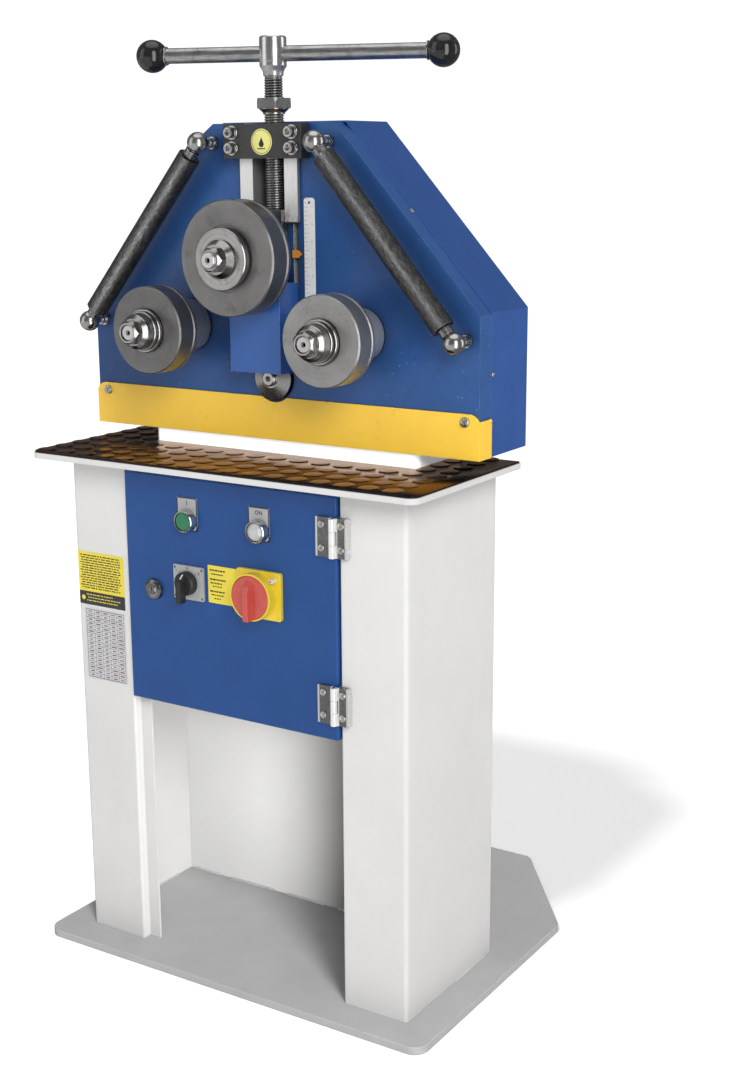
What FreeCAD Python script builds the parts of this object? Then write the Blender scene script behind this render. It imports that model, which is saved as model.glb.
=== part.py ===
import FreeCAD, Part
import Sketcher
import math
import os

# Ring roller (motorised three-roll section bender) on a sheet-metal stand.
# Frame: +Z up, the rollers face -Y, +X to the right of somebody facing them.
# Origin: centre of the base plate's underside. Millimetres.

V = FreeCAD.Vector
doc = FreeCAD.newDocument("RingRoller")
sheet = doc.addObject("Spreadsheet::Sheet", "Dims")
sheet.Label = "Dims"


class Q(object):
    """A length that knows its value and the sheet expression it comes from."""

    def __init__(self, value, text):
        self.v = float(value)
        self.e = text

    def __add__(self, other):
        o = q(other)
        return Q(self.v + o.v, "(%s + %s)" % (self.e, o.e))

    __radd__ = __add__

    def __sub__(self, other):
        o = q(other)
        return Q(self.v - o.v, "(%s - %s)" % (self.e, o.e))

    def __rsub__(self, other):
        return q(other) - self

    def __mul__(self, other):
        o = q(other)
        return Q(self.v * o.v, "(%s * %s)" % (self.e, o.e))

    __rmul__ = __mul__

    def __truediv__(self, other):
        o = q(other)
        return Q(self.v / o.v, "(%s / %s)" % (self.e, o.e))

    def __neg__(self):
        return Q(-self.v, "(0 - %s)" % self.e)


def q(x):
    if isinstance(x, Q):
        return x
    return Q(x, "%.6f" % float(x))


class Sheet(object):
    pass


s = Sheet()
row = [0]


def dim(alias, value, note=""):
    row[0] += 1
    cell = "B%d" % row[0]
    sheet.set("A%d" % row[0], alias)
    sheet.set(cell, "%.6g" % value)
    sheet.setAlias(cell, alias)
    if note:
        sheet.set("C%d" % row[0], note)
    setattr(s, alias, Q(value, "Dims." + alias))


# ---------------------------------------------------------------- dimensions
# base and stand
dim("base_half_width", 292, "base plate, half of the width")
dim("base_half_depth", 270, "base plate, half of the depth")
dim("base_thick", 10)
dim("base_corner_rad", 19)
dim("base_clip_side", 98, "where the rear corners start to be cut off")
dim("base_clip_rear", 162)
dim("stand_half_width", 248)
dim("stand_front", -226)
dim("stand_back", -17)
dim("stand_top", 655)
dim("stand_sheet", 3)
dim("column_inner", 160, "inner edge of the left column's front face")
dim("column_inner_right", 158)
dim("column_return", 15)
dim("column_lip", 17)
dim("table_half_width", 281.5)
dim("table_front", -265)
dim("table_thick", 7)
dim("mat_thick", 3)
dim("riser_half_width", 198)
dim("riser_front", -122)
dim("riser_top", 682)
# head
dim("head_half_width", 284)
dim("head_shoulder", 846)
dim("head_top", 1059.8)
dim("plate_cut_start", 84.4, "upper corners of the front plate are cut off")
dim("plate_cut_end", 101.8)
dim("plate_cut_height", 1047.5)
dim("cover_top", 1061.5)
dim("cover_top_half", 89.5)
dim("cover_shoulder", 847.5)
dim("plate_front", -127)
dim("plate_back", -100)
dim("bearing_plate_front", -30)
dim("bearing_plate_thick", 12)
dim("cover_back", -10)
dim("cover_sheet", 2)
dim("guard_sheet", 2)
dim("guard_top", 735)
dim("guard_return_top", 727)
dim("window_half", 41.6)
dim("window_floor", 944)
dim("channel_half", 22.9)
dim("slot_floor", 822)
dim("mark_slot_left", 31.5)
dim("mark_slot_right", 38.5)
dim("mark_slot_floor", 870)
# rollers and shafts
dim("low_roll_offset", 127)
dim("low_roll_height", 817.5)
dim("low_roll_rad", 53)
dim("top_roll_height", 906.5)
dim("top_roll_rad", 67)
dim("shaft_rad", 15)
dim("shaft_end_rad", 9.8)
dim("shoulder_rad", 32)
dim("bearing_rad", 31)
dim("run_gap", 0.05)
dim("drive_height", 758.585)
dim("drive_rad", 12.5)
dim("disc_rad", 26.5)
dim("gear_module", 4)
dim("gear_front", -50)
dim("gear_width", 18)
# slide, yoke and spindle
dim("slide_half", 50)
dim("slide_low", 860)
dim("slide_high", 959.5)
dim("yoke_half", 56.3)
dim("yoke_front", -144)
dim("yoke_low", 1019)
dim("yoke_high", 1058.5)
dim("spindle_y", -118)
dim("spindle_rad", 12)
dim("spindle_pitch", 3)
dim("hub_rad", 16)
dim("hub_low", 1124)
dim("hub_high", 1158)
dim("bar_rad", 9)
dim("bar_height", 1138)
dim("bar_turn", 17.8, "degrees about Z")
dim("bar_left", 151)
dim("bar_right", 204)
dim("knob_rad", 19.1)
dim("nut_low", 1076.2)
dim("nut_high", 1087.8)
dim("washer_low", 1069.6)
dim("nut_across", 38.4)
# slide cover
dim("hood_half", 36.8)
dim("hood_front", -166)
dim("hood_low", 769)
dim("hood_high", 875)
dim("hood_sheet", 1.6)
# side guide rollers
dim("guide_y", -158.5)
dim("guide_top_x", 83.6)
dim("guide_top_z", 1037.4)
dim("guide_low_x", 268.1)
dim("guide_low_z", 817.8)
dim("guide_ball_rad", 12.9)
dim("guide_rod_rad", 5)
dim("sleeve_rad", 13.7)
dim("sleeve_length", 245)
# door and controls
dim("door_half", 159, "left edge of the door")
dim("door_right", 156.5)
dim("door_front", -230)
dim("door_low", 351)
dim("door_high", 645)
dim("door_depth", 14)
dim("door_sheet", 2)
dim("box_half", 157)
dim("box_back", -75)
dim("box_sheet", 1.5)
dim("hinge_x", 154.5)
dim("hinge_door_leaf", 24.3)
dim("hinge_column_leaf", 19.2)
dim("hinge_y", -236)
dim("hinge_upper", 574.5)
dim("hinge_lower", 372.5)
dim("hinge_height", 46.5)
dim("start_x", -59.75)
dim("lamp_x", 47.75)
dim("lamp_z", 593)
dim("selector_x", -60.5)
dim("selector_z", 515.2)
dim("main_x", 46.1)
dim("main_z", 515.6)
dim("lock_x", -115.5)
dim("lock_z", 499.5)
# drive unit
dim("motor_y", 66)
dim("motor_z", 812)
dim("motor_rad", 56)

doc.recompute()

ROOT = {}      # node name -> document object


def bind(obj, prop, value):
    x = q(value)
    if "Dims." in x.e:
        obj.setExpression(prop, x.e)


def place(obj, x=0, y=0, z=0, rot=None):
    x, y, z = q(x), q(y), q(z)
    obj.Placement = FreeCAD.Placement(V(x.v, y.v, z.v), rot or FreeCAD.Rotation())
    bind(obj, ".Placement.Base.x", x)
    bind(obj, ".Placement.Base.y", y)
    bind(obj, ".Placement.Base.z", z)
    return obj


TO_Y = FreeCAD.Rotation(V(1, 0, 0), -90)     # local Z runs along +Y
TO_X = FreeCAD.Rotation(V(0, 1, 0), 90)      # local Z runs along +X
TURN = {"x": TO_X, "y": TO_Y, "z": FreeCAD.Rotation()}


def box(name, x0, x1, y0, y1, z0, z1):
    o = doc.addObject("Part::Box", name)
    for prop, a, b in (("Length", x0, x1), ("Width", y0, y1), ("Height", z0, z1)):
        d = q(b) - q(a)
        setattr(o, prop, d.v)
        bind(o, prop, d)
    return place(o, x0, y0, z0)


def cyl(name, r, length, at, axis="z", rot=None):
    o = doc.addObject("Part::Cylinder", name)
    o.Radius, o.Height = q(r).v, q(length).v
    bind(o, "Radius", r)
    bind(o, "Height", length)
    return place(o, at[0], at[1], at[2], rot or TURN[axis])


def cone(name, r1, r2, length, at, axis="z"):
    o = doc.addObject("Part::Cone", name)
    o.Radius1, o.Radius2, o.Height = q(r1).v, q(r2).v, q(length).v
    bind(o, "Radius1", r1)
    bind(o, "Radius2", r2)
    bind(o, "Height", length)
    return place(o, at[0], at[1], at[2], TURN[axis])


def ball(name, r, at, rot=None):
    o = doc.addObject("Part::Sphere", name)
    o.Radius = q(r).v
    bind(o, "Radius", r)
    return place(o, at[0], at[1], at[2], rot)


def prism(name, across, length, at, axis="z", rot=None):
    """Hexagon bar, across = distance between flats."""
    o = doc.addObject("Part::Prism", name)
    o.Polygon = 6
    c = q(across) / math.sqrt(3.0)
    o.Circumradius, o.Height = c.v, q(length).v
    bind(o, "Circumradius", c)
    bind(o, "Height", length)
    return place(o, at[0], at[1], at[2], rot or TURN[axis])


def cut(name, base, *tools):
    out = base
    for i, t in enumerate(tools):
        o = doc.addObject("Part::Cut", name if i == len(tools) - 1 else name + "_c%d" % i)
        o.Base, o.Tool = out, t
        out = o
    return out


def fuse(name, parts):
    o = doc.addObject("Part::MultiFuse", name)
    o.Shapes = parts
    return o


def common(name, a, b):
    o = doc.addObject("Part::Common", name)
    o.Base, o.Tool = a, b
    return o


def group(name, parts):
    o = doc.addObject("Part::Compound", name)
    o.Links = parts
    return o


def ring(name, r_out, r_in, length, at, axis="z", rot=None):
    a = cyl(name + "_o", r_out, length, at, axis, rot)
    b = cyl(name + "_i", r_in, length, at, axis, rot)
    return cut(name, a, b)


def sketch(body, plane, name):
    sk = body.newObject("Sketcher::SketchObject", name)
    base = [o for o in body.Origin.OriginFeatures if o.Role == plane + "_Plane"][0]
    sk.AttachmentSupport = [(base, "")]
    sk.MapMode = "FlatFace"
    return sk


def loop(sk, pts):
    """Closed polygon; every corner is dimensioned from the sketch origin."""
    n = len(pts)
    first = sk.GeometryCount
    pts = [(q(a), q(b)) for a, b in pts]
    for i in range(n):
        a, b = pts[i], pts[(i + 1) % n]
        sk.addGeometry(Part.LineSegment(V(a[0].v, a[1].v, 0), V(b[0].v, b[1].v, 0)), False)
    for i in range(n):
        sk.addConstraint(Sketcher.Constraint("Coincident", first + i, 2, first + (i + 1) % n, 1))
    for i in range(n):
        for kind, value in (("DistanceX", pts[i][0]), ("DistanceY", pts[i][1])):
            k = sk.addConstraint(Sketcher.Constraint(kind, -1, 1, first + i, 1, value.v))
            bind(sk, "Constraints[%d]" % k, value)


def circle(sk, cx, cy, r):
    cx, cy, r = q(cx), q(cy), q(r)
    g = sk.addGeometry(Part.Circle(V(cx.v, cy.v, 0), V(0, 0, 1), r.v), False)
    for kind, value in (("DistanceX", cx), ("DistanceY", cy)):
        k = sk.addConstraint(Sketcher.Constraint(kind, -1, 1, g, 3, value.v))
        bind(sk, "Constraints[%d]" % k, value)
    k = sk.addConstraint(Sketcher.Constraint("Radius", g, r.v))
    bind(sk, "Constraints[%d]" % k, r)


def upright_edges(shape, plane, corners):
    """Names of the edges that run along the pad's direction at given corners."""
    names = []
    for i, e in enumerate(shape.Edges):
        if len(e.Vertexes) != 2:
            continue
        a, b = e.Vertexes[0].Point, e.Vertexes[1].Point
        if plane == "XY":
            ua, va, ub, vb = a.x, a.y, b.x, b.y
        else:
            ua, va, ub, vb = a.x, a.z, b.x, b.z
        for cu, cv in corners:
            cu, cv = q(cu).v, q(cv).v
            if abs(ua - cu) + abs(va - cv) + abs(ub - cu) + abs(vb - cv) < 1e-3:
                names.append("Edge%d" % (i + 1))
    return names


def pad(name, plane, outer, t, at=(0, 0, 0), holes=(), rounds=(), rot=None):
    """PartDesign plate. XY plates grow up from at, XZ plates grow towards -Y from at."""
    body = doc.addObject("PartDesign::Body", name)
    sk = sketch(body, plane, name + "_profile")
    if outer[0] == "circle":
        circle(sk, outer[1], outer[2], outer[3])
    else:
        loop(sk, outer)
    for hole in holes:
        if hole[0] == "circle":
            circle(sk, hole[1], hole[2], hole[3])
        else:
            loop(sk, hole)
    p = body.newObject("PartDesign::Pad", name + "_pad")
    p.Profile = sk
    p.Length = q(t).v
    bind(p, "Length", t)
    body.Tip = p
    for k, (corners, r) in enumerate(rounds):
        doc.recompute()
        last = body.Tip
        names = upright_edges(last.Shape, plane, corners)
        if len(names) != len(corners):
            raise RuntimeError("%s: %d of %d corners found" % (name, len(names), len(corners)))
        f = body.newObject("PartDesign::Fillet", "%s_round%d" % (name, k))
        f.Base = (last, names)
        f.Radius = q(r).v
        bind(f, "Radius", r)
        body.Tip = f
    place(body, at[0], at[1], at[2], rot)
    return body


def turned(name, profile, at=(0, 0, 0), axis="y", rot=None):
    """PartDesign revolution; profile is (radius, station along the axis)."""
    body = doc.addObject("PartDesign::Body", name)
    sk = sketch(body, "XZ", name + "_profile")
    loop(sk, profile)
    r = body.newObject("PartDesign::Revolution", name + "_turn")
    r.Profile = sk
    r.ReferenceAxis = (sk, ["V_Axis"])
    r.Angle = 360
    body.Tip = r
    place(body, at[0], at[1], at[2], rot or TURN[axis])
    return body


def node(name, obj):
    obj.Label = name
    ROOT[name] = obj
    return obj


# ---------------------------------------------------------------- base, stand, table
W, D = s.base_half_width, s.base_half_depth
node("base_plate", pad(
    "base_plate_body", "XY",
    [(-W, -D), (W, -D), (W, s.base_clip_side), (s.base_clip_rear, D),
     (-s.base_clip_rear, D), (-W, s.base_clip_side)],
    s.base_thick,
    rounds=[([(-W, -D), (W, -D)], s.base_corner_rad),
            ([(W, s.base_clip_side), (-W, s.base_clip_side),
              (s.base_clip_rear, D), (-s.base_clip_rear, D)], 16)]))

SW, SF, SB, ST = s.stand_half_width, s.stand_front, s.stand_back, s.stand_sheet
CR = s.column_return


def column(name, sgn):
    CI = s.column_inner if sgn < 0 else s.column_inner_right
    CL = s.column_lip
    pts = [(CI, SF), (SW, SF), (SW, SB), (SW - ST, SB), (SW - ST, SF + ST), (CI + ST, SF + ST),
           (CI + ST, SF + CR)]
    if sgn < 0:
        pts += [(CI - CL, SF + CR), (CI - CL, SF + CR - ST), (CI, SF + CR - ST)]
    else:
        pts += [(CI, SF + CR)]
    pts = [(a if sgn > 0 else -a, b) for a, b in pts]
    sg = (lambda a: a) if sgn > 0 else (lambda a: -a)
    return pad(name + "_body", "XY", pts, s.stand_top - s.base_thick, (0, 0, s.base_thick),
               rounds=[([(sg(SW), SF)], 5), ([(sg(CI), SF)], 3),
                       ([(sg(SW - ST), SF + ST), (sg(CI + ST), SF + ST)], 1.6)])


node("left_column", column("left_column", -1))
# flange behind the door, which carries the switch box
flange = box("right_column_flange", s.column_inner_right - 15, s.column_inner_right + 1, SF + CR - ST, SF + CR,
             s.door_low + 1, s.door_high - 3)
node("right_column", fuse("right_column_fuse", [column("right_column", 1), flange]))
node("rear_panel", box("rear_panel_box", -(SW - ST), SW - ST, SB - ST, SB, s.base_thick, s.stand_top))

TW, TF = s.table_half_width, s.table_front
node("table_plate", pad("table_plate_body", "XY", [(-TW, TF), (TW, TF), (TW, SB), (-TW, SB)],
                        s.table_thick, (0, 0, s.stand_top), rounds=[([(-TW, TF), (TW, TF)], 13)]))
table_top = s.stand_top + s.table_thick
RW, RF = s.riser_half_width, s.riser_front
node("tread_mat", pad(
    "tread_mat_body", "XY",
    [(-(TW - 1), TF + 1), (TW - 1, TF + 1), (TW - 1, SB - 1), (RW + 0.5, SB - 1),
     (RW + 0.5, RF - 0.5), (-(RW + 0.5), RF - 0.5), (-(RW + 0.5), SB - 1), (-(TW - 1), SB - 1)],
    s.mat_thick, (0, 0, table_top), rounds=[([(-(TW - 1), TF + 1), (TW - 1, TF + 1)], 12)]))
node("riser_plate", pad("riser_plate_body", "XY", [(-RW, RF), (RW, RF), (RW, SB), (-RW, SB)],
                        s.riser_top - table_top, (0, 0, table_top),
                        rounds=[([(-RW, RF), (RW, RF)], 12)]))

# ---------------------------------------------------------------- head
HW, HS, HT, HB = s.head_half_width, s.head_shoulder, s.head_top, s.riser_top
K1, K2, KZ = s.plate_cut_start, s.plate_cut_end, s.plate_cut_height
VT, VH, VS = s.cover_top, s.cover_top_half, s.cover_shoulder
PF, PB = s.plate_front, s.plate_back
WH, WF, CH = s.window_half, s.window_floor, s.channel_half
upper_window = WH - 4.6
LX, LZ, DZ = s.low_roll_offset, s.low_roll_height, s.drive_height

front = pad(
    "head_front_plate_body", "XZ",
    [(-HW, HB), (HW, HB), (HW, HS), (K2, KZ), (K1, HT), (upper_window, HT), (upper_window, s.yoke_low),
     (WH, s.yoke_low), (WH, WF), (CH + 0.1, WF), (CH + 0.1, s.slot_floor),
     (-(CH + 0.1), s.slot_floor), (-(CH + 0.1), WF), (-WH, WF), (-WH, s.yoke_low),
     (-upper_window, s.yoke_low), (-upper_window, HT), (-K1, HT), (-K2, KZ), (-HW, HS)],
    PB - PF, (0, PB, 0),
    holes=[("circle", LX, LZ, s.bearing_rad), ("circle", -LX, LZ, s.bearing_rad),
           ("circle", 0, DZ, 23.5),
           [(s.mark_slot_left, s.mark_slot_floor), (s.mark_slot_right, s.mark_slot_floor),
            (s.mark_slot_right, WF - 0.5), (s.mark_slot_left, WF - 0.5)]],
    rounds=[([(CH + 0.1, s.slot_floor), (-(CH + 0.1), s.slot_floor)], 8)])
tools = [cyl("disc_recess", s.disc_rad + 2, 6, (0, PF, DZ), "y")]
for i, (sx, sz) in enumerate(((-43.3, 1048.7), (43.3, 1048.7), (-43.3, 1030.7), (43.3, 1030.7))):
    tools.append(cyl("yoke_tap%d" % i, 4.05, 20, (sx, PF, sz), "y"))
for i, sx in enumerate((-267, 267)):
    tools.append(cyl("guard_tap%d" % i, 2.55, 14, (sx, PF, 725.8), "y"))
node("head_front_plate", cut("head_front_plate_cut", front, *tools))

g = s.cover_sheet
BF, BT = s.bearing_plate_front, s.bearing_plate_thick
k1 = g + 0.3
node("head_bearing_plate", pad(
    "head_bearing_plate_body", "XZ",
    [(-(HW - k1), HB), (HW - k1, HB), (HW - k1, VS - 1.2), (VH - 1.2, VT - k1),
     (-(VH - 1.2), VT - k1), (-(HW - k1), VS - 1.2)],
    BT, (0, BF + BT, 0),
    holes=[("circle", LX, LZ, 27.5), ("circle", -LX, LZ, 27.5), ("circle", 0, DZ, 23.5)]))

cover_outer = pad("head_cover_outer", "XZ",
                  [(-HW, HB), (HW, HB), (HW, VS), (VH, VT), (-VH, VT), (-HW, VS)],
                  s.cover_back - PB, (0, s.cover_back, 0))
cover_inner = pad("head_cover_inner", "XZ",
                  [(-(HW - g), HB - 5), (HW - g, HB - 5), (HW - g, VS - 0.9), (VH - 0.9, VT - g),
                   (-(VH - 0.9), VT - g), (-(HW - g), VS - 0.9)],
                  s.cover_back - PB, (0, s.cover_back - g, 0))
cover_port = box("head_cover_port", -60, 60, s.cover_back - 6, s.cover_back + 6, HB + 20, 820)
node("head_cover", cut("head_cover_cut", cover_outer, cover_inner, cover_port))

node("tie_bars", group("tie_bars_set", [
    cyl("tie_bar%d" % i, 11, BF - PB, (x, PB, z), "y")
    for i, (x, z) in enumerate(((-258, 706), (258, 706), (-80, 1035), (80, 1035)))]))

# yellow strip along the foot of the head, bent round both ends
GS, GT = s.guard_sheet, s.guard_top
GW = HW + GS
g_front = pad("guard_front", "XZ", [(-GW, HB), (GW, HB), (GW, GT), (-GW, GT)], GS, (0, PF, 0),
              rounds=[([(-GW, GT), (GW, GT)], 14)])
g_left = box("guard_left", -GW, -HW, PF - GS, PB, HB, s.guard_return_top)
g_right = box("guard_right", HW, GW, PF - GS, PB, HB, s.guard_return_top)
g_all = fuse("guard_fuse", [g_front, g_left, g_right])
guard = cut("guard_strip_cut", g_all,
            cyl("guard_notch", s.disc_rad + 3.5, 10, (0, PF - 6, DZ), "y"),
            cyl("guard_hole0", 2.6, 10, (-267, PF - 6, 725.8), "y"),
            cyl("guard_hole1", 2.6, 10, (267, PF - 6, 725.8), "y"))
node("guard_strip", guard)

screws = []
for i, sx in enumerate((-267, 267)):
    screws.append(turned("guard_screw%d" % i,
                         [(0, -133), (3.4, -132.6), (5.4, -131.2), (6, -129), (2.5, -129),
                          (2.5, -114), (0, -114)], (sx, 0, 725.8), "y"))
for i, (sgn, z) in enumerate(((1, 777.7), (-1, 777.7), (1, 700), (-1, 700))):
    screws.append(cyl("cover_screw%d" % i, 3, 1.6,
                      ((HW if sgn > 0 else -HW - 1.6), -96.6, z), "x"))
# steel gibs: two in the front window, two L-shaped keepers behind the plate
gibs = [box("gib_r", CH, WH, PF - 5, PB, WF, s.yoke_low - 0.2),
        box("gib_l", -WH, -CH, PF - 5, PB, WF, s.yoke_low - 0.2)]
SH = s.slide_half
for name_, sg in (("keeper_r", 1), ("keeper_l", -1)):
    pts = [(SH + 0.3, -100), (SH + 16, -100), (SH + 16, -54), (SH - 10, -54),
           (SH - 10, -63.7), (SH + 0.3, -63.7)]
    pts = [(a if sg > 0 else -a, b) for a, b in pts]
    gibs.append(pad(name_, "XY", pts, 176, (0, 0, 836)))
node("slide_gibs", group("slide_gibs_set", gibs))

node("scale_strip", pad("scale_strip_body", "XZ", [(47.3, 838), (62.6, 838), (62.6, 974), (47.3, 974)], 0.8,
                        (0, PF, 0), rounds=[([(47.3, 974), (62.6, 974)], 4)]))

# ---------------------------------------------------------------- yoke and its nut
SY = s.spindle_y
yoke_slab = box("yoke_slab", -s.yoke_half, s.yoke_half, s.yoke_front, PF, s.yoke_low, s.yoke_high)
yoke_boss = box("yoke_boss", -(upper_window - 0.3), upper_window - 0.3, PF - 1, -101,
                s.yoke_low, s.yoke_high)
yoke = cut("yoke_cut", fuse("yoke_fuse", [yoke_slab, yoke_boss]),
           cyl("yoke_bore", 16, 60, (0, SY, s.yoke_low - 10)),
           *[cyl("yoke_hole%d" % i, 4.4, 30, (sx, s.yoke_front - 5, sz), "y")
             for i, (sx, sz) in enumerate(((-43.3, 1048.7), (43.3, 1048.7), (-43.3, 1030.7), (43.3, 1030.7)))])
node("yoke", yoke)
node("spindle_nut", ring("spindle_nut_ring", 16, s.spindle_rad + 0.06, s.yoke_high - s.yoke_low,
                         (0, SY, s.yoke_low)))

bolts = screws
for i, (sx, sz) in enumerate(((-43.3, 1048.7), (43.3, 1048.7), (-43.3, 1030.7), (43.3, 1030.7))):
    b = turned("yoke_bolt_turn%d" % i,
               [(0, -153.6), (5.9, -153.6), (6.5, -153), (6.5, -145.6), (8.3, -145.6), (8.3, -144),
                (4, -144), (4, -109), (0, -109)], (sx, 0, sz), "y")
    bolts.append(cut("yoke_bolt%d" % i, b, prism("yoke_socket%d" % i, 6, 5, (sx, -154, sz), "y")))
node("head_screws", group("head_screws_set", bolts))

# ---------------------------------------------------------------- bearings
rg = s.run_gap
node("shaft_bearings", group("shaft_bearings_set", [
    ring("brg_fl", s.bearing_rad, s.shaft_rad + rg, 24, (-LX, PF + 2, LZ), "y"),
    ring("brg_fr", s.bearing_rad, s.shaft_rad + rg, 24, (LX, PF + 2, LZ), "y"),
    ring("brg_rl", 27.5, s.shaft_rad + rg, BT, (-LX, BF, LZ), "y"),
    ring("brg_rr", 27.5, s.shaft_rad + rg, BT, (LX, BF, LZ), "y"),
    ring("brg_fd", 23.5, s.drive_rad + rg, 16, (0, PF + 7, DZ), "y"),
    ring("brg_rd", 23.5, s.drive_rad + rg, BT, (0, BF, DZ), "y")]))

# ---------------------------------------------------------------- lower rollers
SR, SE = s.shaft_rad, s.shaft_end_rad


def shaft(name, at, tip, nut_seat, roll_back, shoulder, hub_back, tail):
    return turned(name, [(0, tip), (SE - 1.5, tip), (SE, tip + 1.5), (SE, nut_seat), (SR, nut_seat),
                         (SR, roll_back), (shoulder, roll_back), (shoulder, hub_back - 1),
                         (shoulder - 1, hub_back), (SR, hub_back), (SR, tail), (0, tail)], at, "y")


def centre_drill(name, at, tip):
    return cone(name, 3.4, 0.9, 7, (at[0], tip, at[2]), "y")


for side, x in (("left", -LX), ("right", LX)):
    sh = shaft(side + "_shaft_turn", (x, 0, LZ), -248, -226.5, -182, s.shoulder_rad, -128.4, -14)
    node(side + "_shaft", cut(side + "_shaft_cut", sh, centre_drill(side + "_centre", (x, 0, LZ), -248)))
    R = s.low_roll_rad
    node(side + "_roller", turned(
        side + "_roller_turn",
        [(SR, -212.5), (27.4, -212.5), (27.4, -214.5), (R - 1.6, -214.5), (R, -212.9), (R, -189.6),
         (R - 0.8, -188.8), (R - 6, -188.8), (R - 6, -187.6), (R - 1.4, -187.6), (R, -186.2),
         (R, -183), (R - 1, -182), (SR, -182)], (x, 0, LZ), "y"))
    collar = turned(side + "_collar",
                    [(SR, -212.5), (26.3, -212.5), (26.3, -219.9), (25.5, -220.7), (22.6, -220.7), (22.6, -221.8),
                     (23.8, -221.8), (23.8, -225.2), (23, -226), (SR, -226)], (x, 0, LZ), "y")
    washer = turned(side + "_washer",
                    [(SE + 0.2, -226.6), (22.3, -226.6), (20.8, -235), (20, -236), (16, -239.8),
                     (SE + 0.2, -239.8)], (x, 0, LZ), "y")
    nut = cut(side + "_nut", prism(side + "_hex", 27, 10.2, (x, -250, LZ), "y",
                                   TO_Y.multiply(FreeCAD.Rotation(V(0, 0, 1), 0 if side == "left" else 30))),
              cyl(side + "_nut_bore", SE + 0.05, 12, (x, -251, LZ), "y"))
    nut_c = common(side + "_nut_chamfered", nut,
                   cone(side + "_nut_cone", 11.6, 22, 10.4, (x, -250.1, LZ), "y"))
    node(side + "_clamp_nut", group(side + "_clamp_set", [collar, washer, nut_c]))

# ---------------------------------------------------------------- upper roller
TZ = s.top_roll_height
sh = shaft("upper_shaft_turn", (0, 0, TZ), -253, -230.4, -183, 22, -129.6, -62)
node("upper_shaft", cut("upper_shaft_cut", sh, centre_drill("upper_centre", (0, 0, TZ), -253)))
R = s.top_roll_rad
node("upper_roller", turned(
    "upper_roller_turn",
    [(SR, -216), (39, -216), (39, -218), (R - 1.8, -218), (R, -216.2), (R, -191.4), (R - 0.9, -190.5),
     (R - 7, -190.5), (R - 7, -189.2), (R - 1.6, -189.2), (R, -187.6), (R, -184), (R - 1, -183), (SR, -183)],
    (0, 0, TZ), "y"))
collar = turned("upper_collar", [(SR, -216), (36, -216), (36, -229), (35, -230), (SR, -230)],
                (0, 0, TZ), "y")
washer = turned("upper_washer",
                [(SE + 0.2, -230.5), (22.5, -230.5), (22.5, -232.4), (17, -239.6),
                 (SE + 0.2, -239.6)], (0, 0, TZ), "y")
nut = cut("upper_nut", prism("upper_hex", 27, 9.8, (0, -249.5, TZ), "y"),
          cyl("upper_nut_bore", SE + 0.05, 12, (0, -251, TZ), "y"))
nut_c = common("upper_nut_chamfered", nut, cone("upper_nut_cone", 11.6, 21.6, 10, (0, -249.6, TZ), "y"))
node("upper_clamp_nut", group("upper_clamp_set", [collar, washer, nut_c]))

# ---------------------------------------------------------------- gears


def involute(angle):
    return math.tan(angle) - angle


def gear_gap(teeth, module, slack, r_out):
    """Outline of the gap between two teeth, gap centre on the +X side."""
    pitch = module * teeth / 2.0
    base = pitch * math.cos(math.radians(20))
    root = pitch - 1.25 * module
    inv0 = involute(math.radians(20))

    def half(radius):
        a = math.acos(min(1.0, base / max(radius, base)))
        tooth = math.pi / (2 * teeth) - slack / (2 * pitch) + inv0 - involute(a)
        return math.pi / teeth - tooth
    radii = [root, max(base, root + 0.3), pitch - 0.5 * module, pitch, pitch + 0.5 * module,
             pitch + module, r_out]
    upper = [(r * math.cos(half(r)), r * math.sin(half(r))) for r in radii]
    return [(x, -z) for x, z in upper] + upper[::-1]


def gear(name, teeth, bore, y0, width, at_x, at_z, gap_angle):
    """Spur gear; gap_angle turns one tooth gap to that angle from +X towards +Z."""
    m = s.gear_module
    body = doc.addObject("PartDesign::Body", name)
    sk = sketch(body, "XZ", name + "_blank")
    circle(sk, 0, 0, m * (teeth / 2.0 + 1))
    circle(sk, 0, 0, bore)
    p = body.newObject("PartDesign::Pad", name + "_pad")
    p.Profile = sk
    p.Length = q(width).v
    bind(p, "Length", width)
    body.Tip = p
    doc.recompute()
    full = p.Shape.Volume
    sk2 = sketch(body, "XZ", name + "_gap")
    pts = gear_gap(teeth, 1.0, 0.06, teeth / 2.0 + 1.6)
    loop(sk2, [(m * x, m * z) for x, z in pts])
    c = body.newObject("PartDesign::Pocket", name + "_pocket")
    c.Profile = sk2
    c.Type = 1
    c.Midplane = True
    body.Tip = c
    doc.recompute()
    if c.Shape.Volume > full - 1:
        raise RuntimeError(name + ": the tooth gap cuts nothing")
    pp = body.newObject("PartDesign::PolarPattern", name + "_teeth")
    pp.Originals = [c]
    pp.Axis = (sk, ["N_Axis"])
    pp.Angle = 360
    pp.Occurrences = teeth
    body.Tip = pp
    place(body, at_x, q(y0) + width, at_z, FreeCAD.Rotation(V(0, -1, 0), gap_angle))
    return body


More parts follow.
